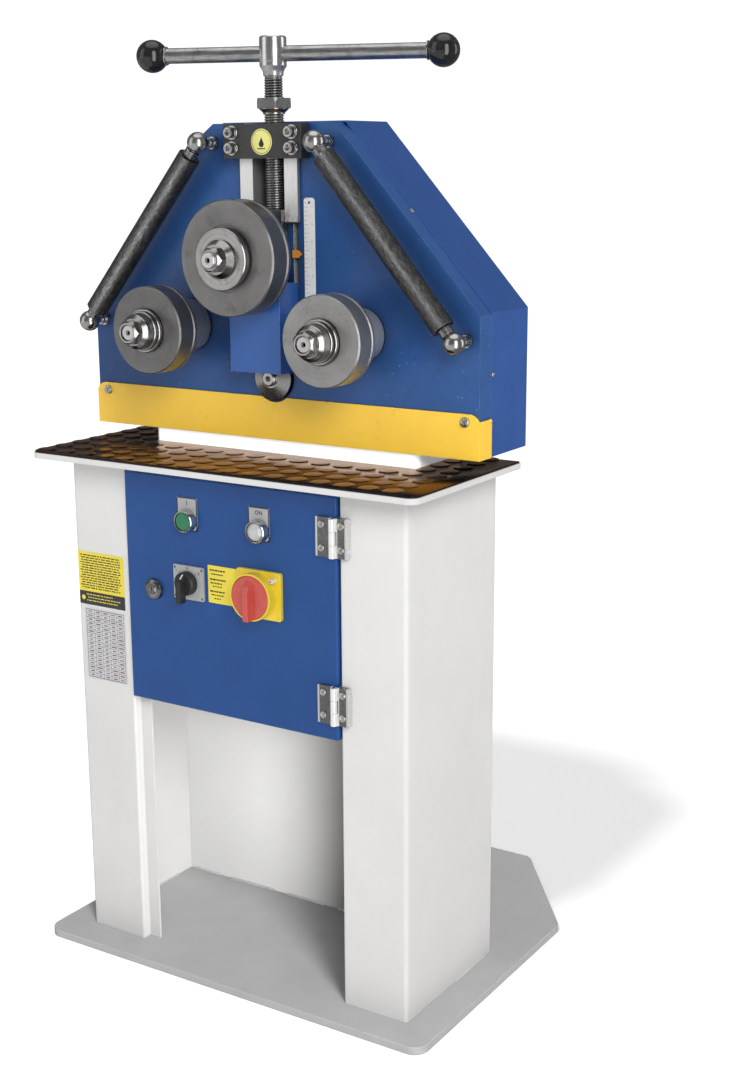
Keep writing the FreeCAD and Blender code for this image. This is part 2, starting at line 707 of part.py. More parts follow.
line = math.degrees(math.atan2(LZ.v - DZ.v, LX.v))       # centres line, drive shaft to right shaft
pinion_pitch, wheel_pitch = 18.0, 7.2
off = (180.0 - 2 * line) % pinion_pitch                  # gap position at the left centres line
node("right_gear", gear("right_gear_body", 50, s.shaft_rad, s.gear_front, s.gear_width, LX, LZ,
                        180 + line + wheel_pitch / 2))
node("left_gear", gear("left_gear_body", 50, s.shaft_rad, s.gear_front, s.gear_width, -LX, LZ,
                       -line + off * 20 / 50.0 + wheel_pitch / 2))
pinion = gear("pinion_body", 20, s.drive_rad - 2, s.gear_front - 1, s.gear_width + 2, 0, DZ, line)
DR, CD = s.drive_rad, s.disc_rad
drive = turned("pinion_shaft_turn",
               [(0, -141.5), (7.5, -141.5), (9.5, -140), (9.5, -136.5), (11.5, -136.5), (CD, -131.6),
                (CD, -128.2), (DR, -128.2), (DR, 100), (0, 100)], (0, 0, DZ), "y")
drive_c = cut("pinion_shaft_cut", drive, cone("drive_centre", 3.6, 1, 6, (0, -141.5, DZ), "y"))
node("pinion_shaft", fuse("pinion_shaft_fuse", [drive_c, pinion]))

# ---------------------------------------------------------------- slide
SL, SHI = s.slide_low, s.slide_high
blk = fuse("slide_fuse", [
    box("slide_body", -SH, SH, PB + 0.3, -64, SL, SHI),
    box("slide_nose", -(CH - 0.3), CH - 0.3, PF - 2, PB + 1, SL - 4, SHI),
    box("slide_socket", -(CH - 0.3), CH - 0.3, PF - 11, PF, 934, SHI)])
node("slide_block", cut("slide_block_cut", blk,
                        cyl("slide_bore_rear", 26, 40, (0, -98, TZ), "y"),
                        cyl("slide_bore_front", 17, 40, (0, PF - 4, TZ), "y"),
                        cyl("slide_spindle_neck", 10.4, 60, (0, SY, 938)),
                        cyl("slide_spindle_entry", s.spindle_rad + 0.4, 40, (0, SY, 956)),
                        cyl("slide_collar_room", 15.8, 9, (0, SY, 937.6))))
node("upper_bearings", group("upper_bearings_set", [
    ring("brg_u0", 26, SR + rg, 16, (0, -98, TZ), "y"),
    ring("brg_u1", 26, SR + rg, 16, (0, -81, TZ), "y")]))

HX, HF, HL, HU, HG = s.hood_half, s.hood_front, s.hood_low, s.hood_high, s.hood_sheet
hood_back = PF - 0.3
node("slide_cover", fuse("slide_cover_fuse", [
    box("hood_front_sheet", -HX, HX, HF, HF + HG, HL, HU),
    box("hood_left", -HX, -(HX - HG), HF, hood_back, HL, HU),
    box("hood_right", HX - HG, HX, HF, hood_back, HL, HU),
    box("hood_top_left", -HX, HX, HF, PF - 2, HU - HG, HU),
    box("hood_tab", -20, 20, PF - 2 - HG, PF - 2, SL - 2, HU)]))

arrow = pad("pointer_arrow", "XZ", [(31, 904), (39.5, 904), (44.5, 908.4), (39.5, 912.8), (31, 912.8)],
            1.8, (0, PF - 0.6, 0))
stem = box("pointer_stem", 33.4, 36.6, PF - 2, PB + 0.3, 906.6, 910.2)
node("scale_pointer", fuse("scale_pointer_fuse", [arrow, stem]))

# ---------------------------------------------------------------- spindle, bar, lock nut
PR = s.spindle_rad
spin = turned("spindle_turn",
              [(0, 938), (15.3, 938), (15.3, 946), (10, 946), (10, 956.5), (PR - 1, 957), (PR, 958.5),
               (PR, 1112), (13.5, s.hub_low - 2), (s.hub_rad, s.hub_low), (s.hub_rad, s.hub_high - 1.5),
               (s.hub_rad - 1.5, s.hub_high), (0, s.hub_high)], (0, SY, 0), "z")
bar_dir = V(math.cos(math.radians(s.bar_turn.v)), math.sin(math.radians(s.bar_turn.v)), 0)
bar_rot = FreeCAD.Rotation(V(0, 0, 1), s.bar_turn.v).multiply(TO_X)


def along_bar(d):
    """Point on the handle's axis, d to the right of the spindle's axis."""
    return (bar_dir.x * q(d), SY + bar_dir.y * q(d), s.bar_height)


node("spindle", cut("spindle_cut", spin, cyl("hub_hole", s.bar_rad + 0.06, 60, along_bar(-30), rot=bar_rot)))
bar = cyl("tommy_bar_rod", s.bar_rad, s.bar_left + s.bar_right, along_bar(-s.bar_left), rot=bar_rot)
node("tommy_bar", bar)
knobs = []
for i, (d, sg) in enumerate(((-s.bar_left, -1), (s.bar_right, 1))):
    k = ball("bar_ball%d" % i, s.knob_rad, along_bar(d))
    back = q(d) - 20 if sg > 0 else q(d)
    hole = cyl("bar_ball_hole%d" % i, s.bar_rad + 0.02, 20.02,
               along_bar(back - 0.02 if sg < 0 else back), rot=bar_rot)
    face = cyl("bar_ball_face%d" % i, 14, 12, along_bar(q(d) - s.knob_rad - 10 if sg > 0
                                                        else q(d) + s.knob_rad - 2), rot=bar_rot)
    knobs.append(cut("bar_knob%d" % i, k, hole, face))
node("bar_knobs", group("bar_knobs_set", knobs))

nut = cut("lock_nut_bore_cut",
          prism("lock_nut_hex", s.nut_across, s.nut_high - s.nut_low - 0.2, (0, SY, s.nut_low + 0.2),
                rot=FreeCAD.Rotation(V(0, 0, 1), 10)),
          cyl("lock_nut_bore", PR + 0.1, 20, (0, SY, s.nut_low - 2)))
node("lock_nut", common("lock_nut_chamfered", nut,
                        cone("lock_nut_cone", 24, 20.4, s.nut_high - s.nut_low, (0, SY, s.nut_low + 0.1))))
node("lock_washer", turned("lock_washer_turn",
                           [(PR + 0.1, s.washer_low), (13, s.washer_low), (13, s.washer_low + 1.6),
                            (17.5, s.nut_low - 0.8), (17.5, s.nut_low), (PR + 0.1, s.nut_low)],
                           (0, SY, 0), "z"))

# ---------------------------------------------------------------- side guide rollers
GY = s.guide_y
dx = s.guide_low_x.v - s.guide_top_x.v
dz = s.guide_low_z.v - s.guide_top_z.v
span = math.hypot(dx, dz)
tilt = math.degrees(math.atan2(dx, -dz))
rods = []
for side, sg in (("left", -1), ("right", 1)):
    top_x = s.guide_top_x * sg
    low_x = s.guide_low_x * sg
    rot = FreeCAD.Rotation(V(0, 1, 0), -tilt * sg)
    up = V(-dx / span * sg, 0, -dz / span)
    parts = [ball(side + "_top_ball", s.guide_ball_rad, (top_x, GY, s.guide_top_z), rot),
             ball(side + "_low_ball", s.guide_ball_rad, (low_x, GY, s.guide_low_z), rot),
             cyl(side + "_rod", s.guide_rod_rad, span, (low_x, GY, s.guide_low_z), rot=rot)]
    for lab, gx, gz in (("top", top_x, s.guide_top_z), ("low", low_x, s.guide_low_z)):
        parts.append(cyl("%s_%s_stud" % (side, lab), 4.5, PF - GY, (gx, GY, gz), "y"))
        parts.append(cyl("%s_%s_ring" % (side, lab), 7.5, 5, (gx, PF - 5, gz), "y"))
        parts.append(cyl("%s_%s_bead" % (side, lab), 6.2, 3, (gx, PF - 12, gz), "y"))
    rods.append(fuse(side + "_guide_fuse", parts))
    gap = (span - s.sleeve_length.v) / 2
    base = (low_x + up.x * gap, GY, s.guide_low_z + up.z * gap)
    node(side + "_guide_sleeve",
         ring(side + "_sleeve", s.sleeve_rad, s.guide_rod_rad + 0.08, s.sleeve_length, base, rot=rot))
node("side_guide_rods", group("side_guide_rods_set", rods))

# ---------------------------------------------------------------- switch box and door
BX, BB, BS = s.box_half, s.box_back, s.box_sheet
lip_back = SF + CR
DL, DH = s.door_low, s.door_high
shell = box("box_outer", -BX, BX, lip_back, BB, DL + 1, DH - 3)
room = box("box_inner", -(BX - BS), BX - BS, lip_back - 5, BB - BS, DL + 1 + BS, DH - 3 - BS)
node("enclosure_box", cut("enclosure_box_cut", shell, room))
# fixed electrical fittings: rail, contactor, overload relay, and the inlet gland in the rear panel
node("electrical_fittings", group("electrical_fittings_set", [
    turned("cable_gland", [(5, 0), (12, 0), (12, 6), (10, 6.5), (10, 20), (5, 24)], (-190, SB, 90), "y"),
    box("din_rail", -110, 110, BB - BS - 7.5, BB - BS, 530, 565),
    box("contactor_block", -70, -25, BB - BS - 82, BB - BS - 7.5, 506, 589),
    box("overload_block", 0, 45, BB - BS - 70, BB - BS - 7.5, 510, 585)]))

DF, DD, DS = s.door_front, s.door_depth, s.door_sheet
DW = s.door_half
DX = s.door_right
pan = pad("door_pan", "XZ", [(-DW, DL), (DX, DL), (DX, DH), (-DW, DH)], DD, (0, DF + DD, 0))
doc.recompute()
tip = pan.Tip
right_edge = []
for i, e in enumerate(tip.Shape.Edges):
    a, b = e.Vertexes[0].Point, e.Vertexes[1].Point
    if abs(a.y + DD.v) < 1e-6 and abs(b.y + DD.v) < 1e-6 and abs(a.x - b.x) < 1e-6 and a.x > 0:
        right_edge.append("Edge%d" % (i + 1))
fold = pan.newObject("PartDesign::Fillet", "door_fold")
fold.Base = (tip, right_edge)
fold.Radius = 4.5
pan.Tip = fold
doc.recompute()
edges = []
for i, e in enumerate(fold.Shape.Edges):
    a, b = e.Vertexes[0].Point, e.Vertexes[-1].Point
    on_front = abs(a.y + DD.v) < 1e-6 and abs(b.y + DD.v) < 1e-6
    if on_front and not (abs(a.x - b.x) < 1e-6 and a.x > 0):
        edges.append("Edge%d" % (i + 1))
f = pan.newObject("PartDesign::Fillet", "door_round")
f.Base = (fold, edges)
f.Radius = 2.6
pan.Tip = f
inner = box("door_hollow", -(DW - DS), DX - DS, DF + DS, DF + DD + 2, DL + DS, DH - DS)
door_holes = [cyl("door_hole_start", 11, 10, (s.start_x, DF - 4, s.lamp_z), "y"),
              cyl("door_hole_lamp", 11, 10, (s.lamp_x, DF - 4, s.lamp_z), "y"),
              cyl("door_hole_sel", 8, 10, (s.selector_x, DF - 4, s.selector_z), "y"),
              cyl("door_hole_main", 9, 10, (s.main_x, DF - 4, s.main_z), "y"),
              cyl("door_hole_lock", 9.5, 10, (s.lock_x, DF - 4, s.lock_z), "y")]
node("door_panel", cut("door_panel_cut", pan, inner, *door_holes))

# butt hinges: leaves 4 mm thick, three knuckles round a 4 mm pin
KX, KY, KH = s.hinge_x, s.hinge_y, s.hinge_height
third = KH / 3
fixed, moving, pins = [], [], []
for i, z0 in enumerate((s.hinge_lower, s.hinge_upper)):
    parts = [box("fix_leaf%d" % i, KX + 4.7, KX + s.hinge_column_leaf, DF - 4, SF, z0, z0 + KH)]
    for j, zz in enumerate((z0, z0 + third * 2)):
        parts.append(box("fix_web%d%d" % (i, j), KX, KX + 5, KY, KY + 4, zz + 0.15, zz + third - 0.15))
        parts.append(cyl("fix_knuckle%d%d" % (i, j), 4.2, third - 0.3, (KX, KY, zz + 0.15)))
    fixed.append(cut("fix_hinge%d" % i, fuse("fix_hinge_fuse%d" % i, parts),
                     cyl("fix_pin_hole%d" % i, 2, KH + 2, (KX, KY, z0 - 1))))
    parts = [box("door_leaf%d" % i, KX - s.hinge_door_leaf, KX - 4.7, DF - 4, DF, z0, z0 + KH),
             box("door_web%d" % i, KX - 5, KX, KY, KY + 4, z0 + third + 0.15, z0 + third * 2 - 0.15),
             cyl("door_knuckle%d" % i, 4.2, third - 0.3, (KX, KY, z0 + third + 0.15))]
    moving.append(cut("door_hinge%d" % i, fuse("door_hinge_fuse%d" % i, parts),
                      cyl("door_pin_hole%d" % i, 2.06, KH, (KX, KY, z0))))
    pins.append(cyl("pin%d" % i, 2, KH + 0.6, (KX, KY, z0 - 0.3)))
node("column_hinge_leaves", group("column_hinge_leaves_set", fixed))
node("door_hinge_leaves", group("door_hinge_leaves_set", moving))
node("hinge_pins", group("hinge_pins_set", pins))

# lock: barrel fixed in the door, key plug with its cam turns in it
KL = (s.lock_x, 0, s.lock_z)
node("door_lock", turned("door_lock_turn",
                         [(6.06, -235.5), (9, -236), (12.2, -234.2), (13.5, -230), (9.4, -230),
                          (9.4, -212), (6.06, -212)], KL, "y"))
plug = turned("lock_plug", [(0, -236.6), (5, -236.6), (6, -235.6), (6, -211.6), (0, -211.6)], KL, "y")
slot = box("key_slot", s.lock_x - 0.7, s.lock_x + 0.7, -238, -231, s.lock_z - 4, s.lock_z + 4)
node("lock_cam", cut("lock_cam_cut", fuse("lock_cam_fuse", [
    plug, box("lock_tongue_plate", s.lock_x - 6, s.lock_x + 6, -211.7, -206, s.lock_z - 8, s.lock_z + 8),
    box("lock_tongue_arm", s.lock_x - 6, s.lock_x + 6, -208.6, -206, s.lock_z - 37, s.lock_z + 8)]), slot))

LG = 1.0
plates = []
for lab, cx in (("start", s.start_x), ("lamp", s.lamp_x)):
    p = pad(lab + "_legend", "XZ", [(cx - 15.25, s.lamp_z - 13), (cx + 15.25, s.lamp_z - 13),
                                    (cx + 15.25, s.lamp_z + 28.5), (cx - 15.25, s.lamp_z + 28.5)], LG,
            (0, DF, 0), holes=[("circle", cx, s.lamp_z, 11)],
            rounds=[([(cx - 15.25, s.lamp_z - 13), (cx + 15.25, s.lamp_z - 13)], 9)])
    plates.append(p)
plates.append(pad("selector_frame", "XZ",
                  [(s.selector_x - 22, s.selector_z - 21.2), (s.selector_x + 24.2, s.selector_z - 21.2),
                   (s.selector_x + 24.2, s.selector_z + 21.2), (s.selector_x - 22, s.selector_z + 21.2)],
                  3, (0, DF, 0), holes=[("circle", s.selector_x, s.selector_z, 5.06)],
                  rounds=[([(s.selector_x - 22, s.selector_z - 21.2), (s.selector_x + 24.2, s.selector_z - 21.2),
                            (s.selector_x + 24.2, s.selector_z + 21.2), (s.selector_x - 22, s.selector_z + 21.2)],
                           1.5)]))
node("legend_plates", group("legend_plates_set", plates))

bezel = [(11.7, -231), (14.7, -231), (14.7, -232.5), (13.6, -240), (12.6, -241), (11.7, -240.4)]
node("button_bezels", group("button_bezels_set", [
    turned("start_bezel", bezel, (s.start_x, 0, s.lamp_z), "y"),
    turned("lamp_bezel", bezel, (s.lamp_x, 0, s.lamp_z), "y")]))
node("start_button", turned("start_button_turn",
                            [(0, -240.6), (9.6, -240.6), (11.3, -239.4), (11.3, -235.6), (7, -235.6),
                             (7, -206), (0, -206)], (s.start_x, 0, s.lamp_z), "y"))
node("pilot_lens", turned("pilot_lens_turn",
                          [(0, -244.6), (4, -244.2), (7.6, -242.8), (10.2, -240.4), (11.5, -237), (11.5, -231),
                           (7, -231), (7, -206), (0, -206)], (s.lamp_x, 0, s.lamp_z), "y"))
node("switch_blocks", group("switch_blocks_set", [
    cut("start_block", box("start_block_box", s.start_x - 15, s.start_x + 15, -227.8, -180,
                           s.lamp_z - 20, s.lamp_z + 20),
        cyl("start_block_bore", 7.4, 32, (s.start_x, -232, s.lamp_z), "y")),
    cut("lamp_block", box("lamp_block_box", s.lamp_x - 15, s.lamp_x + 15, -227.8, -180,
                          s.lamp_z - 20, s.lamp_z + 20),
        cyl("lamp_block_bore", 7.4, 27, (s.lamp_x, -232, s.lamp_z), "y")),
    cut("selector_block", box("selector_block_box", s.selector_x - 20, s.selector_x + 20, -227.8, -170,
                              s.selector_z - 20, s.selector_z + 20),
        cyl("selector_block_bore", 5.3, 36, (s.selector_x, -232, s.selector_z), "y")),
    cut("main_block", box("main_block_box", s.main_x - 24, s.main_x + 24, -227.8, -165,
                          s.main_z - 24, s.main_z + 24),
        cyl("main_block_bore", 6.3, 36, (s.main_x, -232, s.main_z), "y"))]))

# main switch: yellow plate with its collar, red turning handle inside it
mp = pad("main_plate", "XZ", [(s.main_x - 30.2, s.main_z - 29), (s.main_x + 34, s.main_z - 29),
                              (s.main_x + 34, s.main_z + 29.8), (s.main_x - 30.2, s.main_z + 29.8)],
         4.5, (0, DF, 0), holes=[("circle", s.main_x, s.main_z, 6.06)],
         rounds=[([(s.main_x - 30.2, s.main_z - 29), (s.main_x + 34, s.main_z - 29),
                   (s.main_x + 34, s.main_z + 29.8), (s.main_x - 30.2, s.main_z + 29.8)], 3)])
mc = turned("main_collar", [(26.9, -234), (28, -234), (29, -249), (28.6, -250.5), (26.9, -250.5)],
            (s.main_x, 0, s.main_z), "y")
node("main_switch_plate", fuse("main_switch_plate_fuse", [mp, mc]))
disc = turned("main_disc", [(0, -251.5), (24.5, -251.5), (26.5, -250), (26.5, -235), (6, -235),
                            (6, -200), (0, -200)], (s.main_x, 0, s.main_z), "y")


def blade(name, half, profile, x, z, turn=0):
    """Upright blade: profile of (y, z) points in the plane through the axis, half = half thickness."""
    body = doc.addObject("PartDesign::Body", name)
    sk = sketch(body, "YZ", name + "_profile")
    loop(sk, profile)
    p = body.newObject("PartDesign::Pad", name + "_pad")
    p.Profile = sk
    p.Length = q(half).v * 2
    bind(p, "Length", q(half) * 2)
    p.Midplane = True
    body.Tip = p
    return place(body, x, 0, z, FreeCAD.Rotation(V(0, 1, 0), turn))


grip = blade("main_grip", 3.6, [(-251, -28.3), (-260, -27.3), (-260, 9), (-257, 15), (-251, 22)],
             s.main_x, s.main_z)
node("main_switch_knob", fuse("main_switch_knob_fuse", [disc, grip]))

sd = turned("selector_disc", [(0, -243), (12.6, -243), (14.6, -241), (15, -233.3), (5, -233.3),
                              (5, -200), (0, -200)], (s.selector_x, 0, s.selector_z), "y")
sgp = blade("selector_grip", 3.6, [(-242, -22), (-252.6, -22), (-252.6, 4.6), (-242, 14)],
            s.selector_x, s.selector_z)
node("selector_knob", fuse("selector_knob_fuse", [sd, sgp]))

# ---------------------------------------------------------------- drive unit behind the head
MY, MZ, MR = s.motor_y, s.motor_z, s.motor_rad
gb = fuse("gearbox_fuse", [
    box("gearbox_flange", -56, 56, BF + BT, BF + BT + 14, HB + 24, 816),
    cyl("gearbox_wheel_case", 50, 116, (0, BF + BT, DZ), "y"),
    cyl("gearbox_worm_case", 32, 130, (-70, MY, MZ), "x"),
    box("gearbox_web", -45, 45, 24, 90, DZ, MZ)])
node("gearbox", cut("gearbox_cut", gb, cyl("gearbox_bore", DR + 0.3, 150, (0, BF, DZ), "y")))
fins = [(0, -250), (MR - 8, -250), (MR - 8, -240)]
x_ = -240.0
while x_ < -90:
    fins += [(MR - 1, x_), (MR - 1, x_ + 3), (MR - 6, x_ + 3), (MR - 6, x_ + 9)]
    x_ += 9
fins += [(MR, -87), (MR + 6, -87), (MR + 6, -70), (0, -70)]
clean = []
for p_ in fins:
    if not clean or abs(q(clean[-1][0]).v - q(p_[0]).v) + abs(q(clean[-1][1]).v - q(p_[1]).v) > 1e-6:
        clean.append(p_)
motor_case = turned("motor_case", clean, (0, MY, MZ), "x")
terminal = box("terminal_box", -190, -110, MY - 34, MY + 34, MZ + MR - 14, MZ + MR + 30)
node("motor", group("motor_set", [fuse("motor_fuse", [motor_case, terminal]), turned(
    "fan_cover",
                         [(6, -292), (MR - 6, -292), (MR, -286), (MR, -246), (MR - 1.6, -246),
                          (MR - 1.6, -284), (MR - 8, -290.4), (6, -290.4)], (0, MY, MZ), "x")]))

# ---------------------------------------------------------------- check and write
doc.recompute()
bad = []
for o in doc.Objects:
    state = list(o.State)
    if "Invalid" in state or "Error" in state:
        bad.append("%s (%s): %s" % (o.Name, o.Label, state))
for name, o in ROOT.items():
    shp = o.Shape
    if shp.isNull() or not shp.isValid() or not shp.Solids:
        bad.append("%s: shape null, not valid or without a solid" % name)
if len(ROOT) > 60:
    bad.append("too many nodes: %d" % len(ROOT))
if bad:
    raise RuntimeError("failed objects:\n" + "\n".join(bad))

os.makedirs("parts", exist_ok=True)
for name, o in ROOT.items():
    o.Shape.exportStep("parts/%s.step" % name)
    b = o.Shape.BoundBox
    print("%-22s solids %d  vol %9.0f  x %.1f %.1f  y %.1f %.1f  z %.1f %.1f" % (
        name, len(o.Shape.Solids), o.Shape.Volume, b.XMin, b.XMax, b.YMin, b.YMax, b.ZMin, b.ZMax))
print("nodes:", len(ROOT))
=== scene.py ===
import math
import random

import bmesh
import bpy
from mathutils import Matrix, Vector


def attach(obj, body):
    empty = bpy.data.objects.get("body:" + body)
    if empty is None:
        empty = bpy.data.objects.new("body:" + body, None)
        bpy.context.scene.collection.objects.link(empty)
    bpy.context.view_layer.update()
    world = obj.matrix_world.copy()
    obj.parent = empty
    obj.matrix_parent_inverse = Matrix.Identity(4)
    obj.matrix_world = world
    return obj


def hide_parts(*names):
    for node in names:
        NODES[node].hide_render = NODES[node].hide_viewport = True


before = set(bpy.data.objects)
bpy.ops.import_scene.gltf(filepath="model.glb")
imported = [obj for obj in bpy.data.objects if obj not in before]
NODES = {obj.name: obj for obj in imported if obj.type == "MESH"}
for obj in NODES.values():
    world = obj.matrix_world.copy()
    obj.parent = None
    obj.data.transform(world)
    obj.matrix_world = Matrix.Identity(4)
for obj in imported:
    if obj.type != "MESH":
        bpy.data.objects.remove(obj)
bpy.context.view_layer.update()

MM = 0.001
rng = random.Random(7)


# ------------------------------------------------------------------ mesh helpers
def v(x, y, z):
    return Vector((x * MM, y * MM, z * MM))


def axis_frame(at, axis):
    """Matrix whose local Z runs along axis and whose origin is at (mm)."""
    z = Vector(axis).normalized()
    q = z.to_track_quat("Z", "Y")
    return Matrix.Translation(v(*at)) @ q.to_matrix().to_4x4()


# local X, Y, Z -> world, with local Z pointing out of the machine's front (-Y)
def front(x, y, z, turn=0.0):
    m = Matrix(((1, 0, 0, x * MM), (0, 0, -1, y * MM), (0, 1, 0, z * MM), (0, 0, 0, 1)))
    return m @ Matrix.Rotation(math.radians(turn), 4, "Z")


def side(x, y, z, sgn=1, turn=0.0):
    m = Matrix(((0, 0, sgn, x * MM), (sgn, 0, 0, y * MM), (0, 1, 0, z * MM), (0, 0, 0, 1)))
    return m @ Matrix.Rotation(math.radians(turn), 4, "Z")


def back(x, y, z, turn=0.0):
    m = Matrix(((-1, 0, 0, x * MM), (0, 0, 1, y * MM), (0, 1, 0, z * MM), (0, 0, 0, 1)))
    return m @ Matrix.Rotation(math.radians(turn), 4, "Z")


def up(x, y, z, turn=0.0):
    return Matrix.Translation(v(x, y, z)) @ Matrix.Rotation(math.radians(turn), 4, "Z")


class Build:
    """Collects loops of points and solids in one mesh, millimetres in, metres out."""

    def __init__(self):
        self.bm = bmesh.new()

    def loft(self, rings, m=None, closed=False, cap0=True, cap1=True):
        m = m or Matrix.Identity(4)
        vs = [[self.bm.verts.new(m @ Vector((p[0] * MM, p[1] * MM, p[2] * MM))) for p in ring] for ring in rings]
        n = len(vs[0])
        pairs = list(zip(vs, vs[1:]))
        if closed:
            pairs.append((vs[-1], vs[0]))
        for a, b in pairs:
            for i in range(n):
                j = (i + 1) % n
                self.bm.faces.new((a[i], a[j], b[j], b[i]))
        if not closed:
            if cap0:
                self.bm.faces.new(vs[0][::-1])
            if cap1:
                self.bm.faces.new(vs[-1])
        return self

    def lathe(self, profile, m=None, n=64, closed=False):
        rings = []
        for r, z in profile:
            r = max(r, 0.02)
            rings.append([(r * math.cos(2 * math.pi * i / n), r * math.sin(2 * math.pi * i / n), z) for i in range(n)])
        return self.loft(rings, m, closed)

    def slab(self, outline, z0, z1, m=None, chamfer=0.0):
        """Prism of a counter-clockwise outline, with its edges broken."""
        if chamfer:
            small = inset(outline, chamfer)
            rings = [[(x, y, z0) for x, y in small], [(x, y, z0 + chamfer) for x, y in outline],
                     [(x, y, z1 - chamfer) for x, y in outline], [(x, y, z1) for x, y in small]]
        else:
            rings = [[(x, y, z0) for x, y in outline], [(x, y, z1) for x, y in outline]]
        return self.loft(rings, m)

    def brick(self, x0, x1, y0, y1, z0, z1, m=None, chamfer=0.4, r=1.0):
        return self.slab(rr(x0, x1, y0, y1, r, 3), z0, z1, m, chamfer)

    def obj(self, name, mat, slot, body, angle=38, replaces=()):
        bmesh.ops.remove_doubles(self.bm, verts=self.bm.verts, dist=2e-7)
        bmesh.ops.recalc_face_normals(self.bm, faces=self.bm.faces)
        me = bpy.data.meshes.new(name)
        self.bm.to_mesh(me)
        self.bm.free()
        me.polygons.foreach_set("use_smooth", [True] * len(me.polygons))
        me.set_sharp_from_angle(angle=math.radians(angle))
        o = bpy.data.objects.new(name, me)
        bpy.context.scene.collection.objects.link(o)
        mats = mat if isinstance(mat, (list, tuple)) else [mat]
        for k in mats:
            me.materials.append(k)
        if replaces:
            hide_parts(*replaces)
        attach(o, body)
        return o


def inset(outline, d):
    n = len(outline)
    out = []
    for i in range(n):
        ax, ay = outline[i - 1]
        bx, by = outline[i]
        cx, cy = outline[(i + 1) % n]
        e1 = Vector((bx - ax, by - ay))
        e2 = Vector((cx - bx, cy - by))
        if e1.length < 1e-9 or e2.length < 1e-9:
            out.append((bx, by))
            continue
        e1.normalize()
        e2.normalize()
        n1, n2 = Vector((-e1.y, e1.x)), Vector((-e2.y, e2.x))
        h = n1 + n2
        k = d / max(0.35, (1 + n1.dot(n2)) / 2) / 2
        out.append((bx + h.x * k, by + h.y * k))
    return out


def rr(x0, x1, y0, y1, r, n=6):
    """Rounded rectangle, counter-clockwise."""
    pts = []
    for cx, cy, a0 in ((x1 - r, y1 - r, 0), (x0 + r, y1 - r, 90), (x0 + r, y0 + r, 180), (x1 - r, y0 + r, 270)):
        for i in range(n + 1):
            a = math.radians(a0 + 90.0 * i / n)
            pts.append((cx + r * math.cos(a), cy + r * math.sin(a)))
    return pts


def circle(r, z, n=48, wave=None):
    out = []
    for i in range(n):
        a = 2 * math.pi * i / n
        k = r if wave is None else wave(a, r)
        out.append((k * math.cos(a), k * math.sin(a), z))
    return out


def hexa(af, z, n=48, limit=None):
    out = []
    for i in range(n):
        a = 2 * math.pi * i / n
        b = (math.degrees(a) + 30) % 60 - 30
        r = af / 2 / math.cos(math.radians(30)) * math.cos(math.radians(30)) / math.cos(math.radians(b))
        if limit:
            r = min(r, limit)
        out.append((r * math.cos(a), r * math.sin(a), z))
    return out


def cross(arm, half, z, n=96):
    out = []
    for i in range(n):
        a = 2 * math.pi * i / n
        b = math.radians((math.degrees(a) + 45) % 90 - 45)
        r = arm / math.cos(b)
        if abs(math.tan(b)) * arm > half:
            r = min(r, half / abs(math.sin(b)))
        out.append((r * math.cos(a), r * math.sin(a), z))
    return out


def socket_screw(b, m, r=6.5, h=8.0, af=6.0, washer=8.3, wt=1.6):
    """Cap screw on a plain washer; local Z = 0 at the seat, growing towards the viewer."""
    n = 48
    z = wt
    b.lathe([(4.2, 0), (washer - 0.25, 0), (washer, 0.25), (washer, wt - 0.3), (washer - 0.3, wt), (4.2, wt)], m, n)

    def knurl(a, k):
        return k - (0.13 if int(a / (2 * math.pi) * n + 0.5) % 2 else 0.0)
    rings = [circle(r - 0.4, z, n), circle(r, z + 0.35, n), circle(r, z + 1.0, n),
             circle(r, z + 1.3, n, knurl), circle(r, z + h - 1.9, n, knurl), circle(r, z + h - 1.6, n),
             circle(r - 0.05, z + h - 0.75, n), circle(r - 0.22, z + h - 0.3, n), circle(r - 0.7, z + h, n),
             circle(af / 2 + 1.2, z + h, n), circle(af / 2 + 0.8, z + h - 0.05, n),
             hexa(af, z + h - 0.55, n), hexa(af, z + h - 4.2, n), circle(1.2, z + h - 5.1, n)]
    b.loft(rings, m)


def pan_screw(b, m, r=6.0, h=4.0, arm=None, washer=None):
    """Pan head with a cross recess; local Z = 0 at the seat."""
    n = 96
    arm = arm or r * 0.56
    if washer:
        b.lathe([(r * 0.6, -0.2), (washer, -0.2), (washer, 0.7), (washer - 0.3, 1.0), (r * 0.6, 1.0)], m, n)
    dome = lambda q: h * (0.62 + 0.38 * math.sqrt(max(0.0, 1 - (q / (r * 1.0)) ** 2)))
    rings = [circle(r - 0.3, 0, n), circle(r, 0.25, n), circle(r, h * 0.42, n), circle(r * 0.975, h * 0.58, n),
             circle(r * 0.92, h * 0.70, n), circle(r * 0.84, dome(r * 0.84), n), circle(r * 0.72, dome(r * 0.72), n),
             circle(arm * 1.12, dome(arm * 1.1), n), cross(arm, r * 0.13, dome(arm * 0.8), n),
             cross(arm * 0.62, r * 0.10, h * 0.35, n), cross(arm * 0.3, r * 0.07, h * 0.18, n)]
    b.loft(rings, m)


def hex_bolt(b, m, af=10.0, h=5.0, washer=None, n=48):
    z = 0.0
    if washer:
        b.lathe([(af * 0.3, 0), (washer, 0), (washer, 1.0), (washer - 0.3, 1.3), (af * 0.3, 1.3)], m, n)
        z = 1.3
    c = af / 2 * 1.03
    b.loft([hexa(af, z, n, c * 1.05), hexa(af, z + 0.3, n), hexa(af, z + h - 0.9, n), hexa(af, z + h - 0.35, n, c * 1.06),
            hexa(af, z + h, n, c * 0.95), circle(af * 0.3, z + h + 0.02, n), circle(af * 0.22, z + h - 0.1, n)], m)


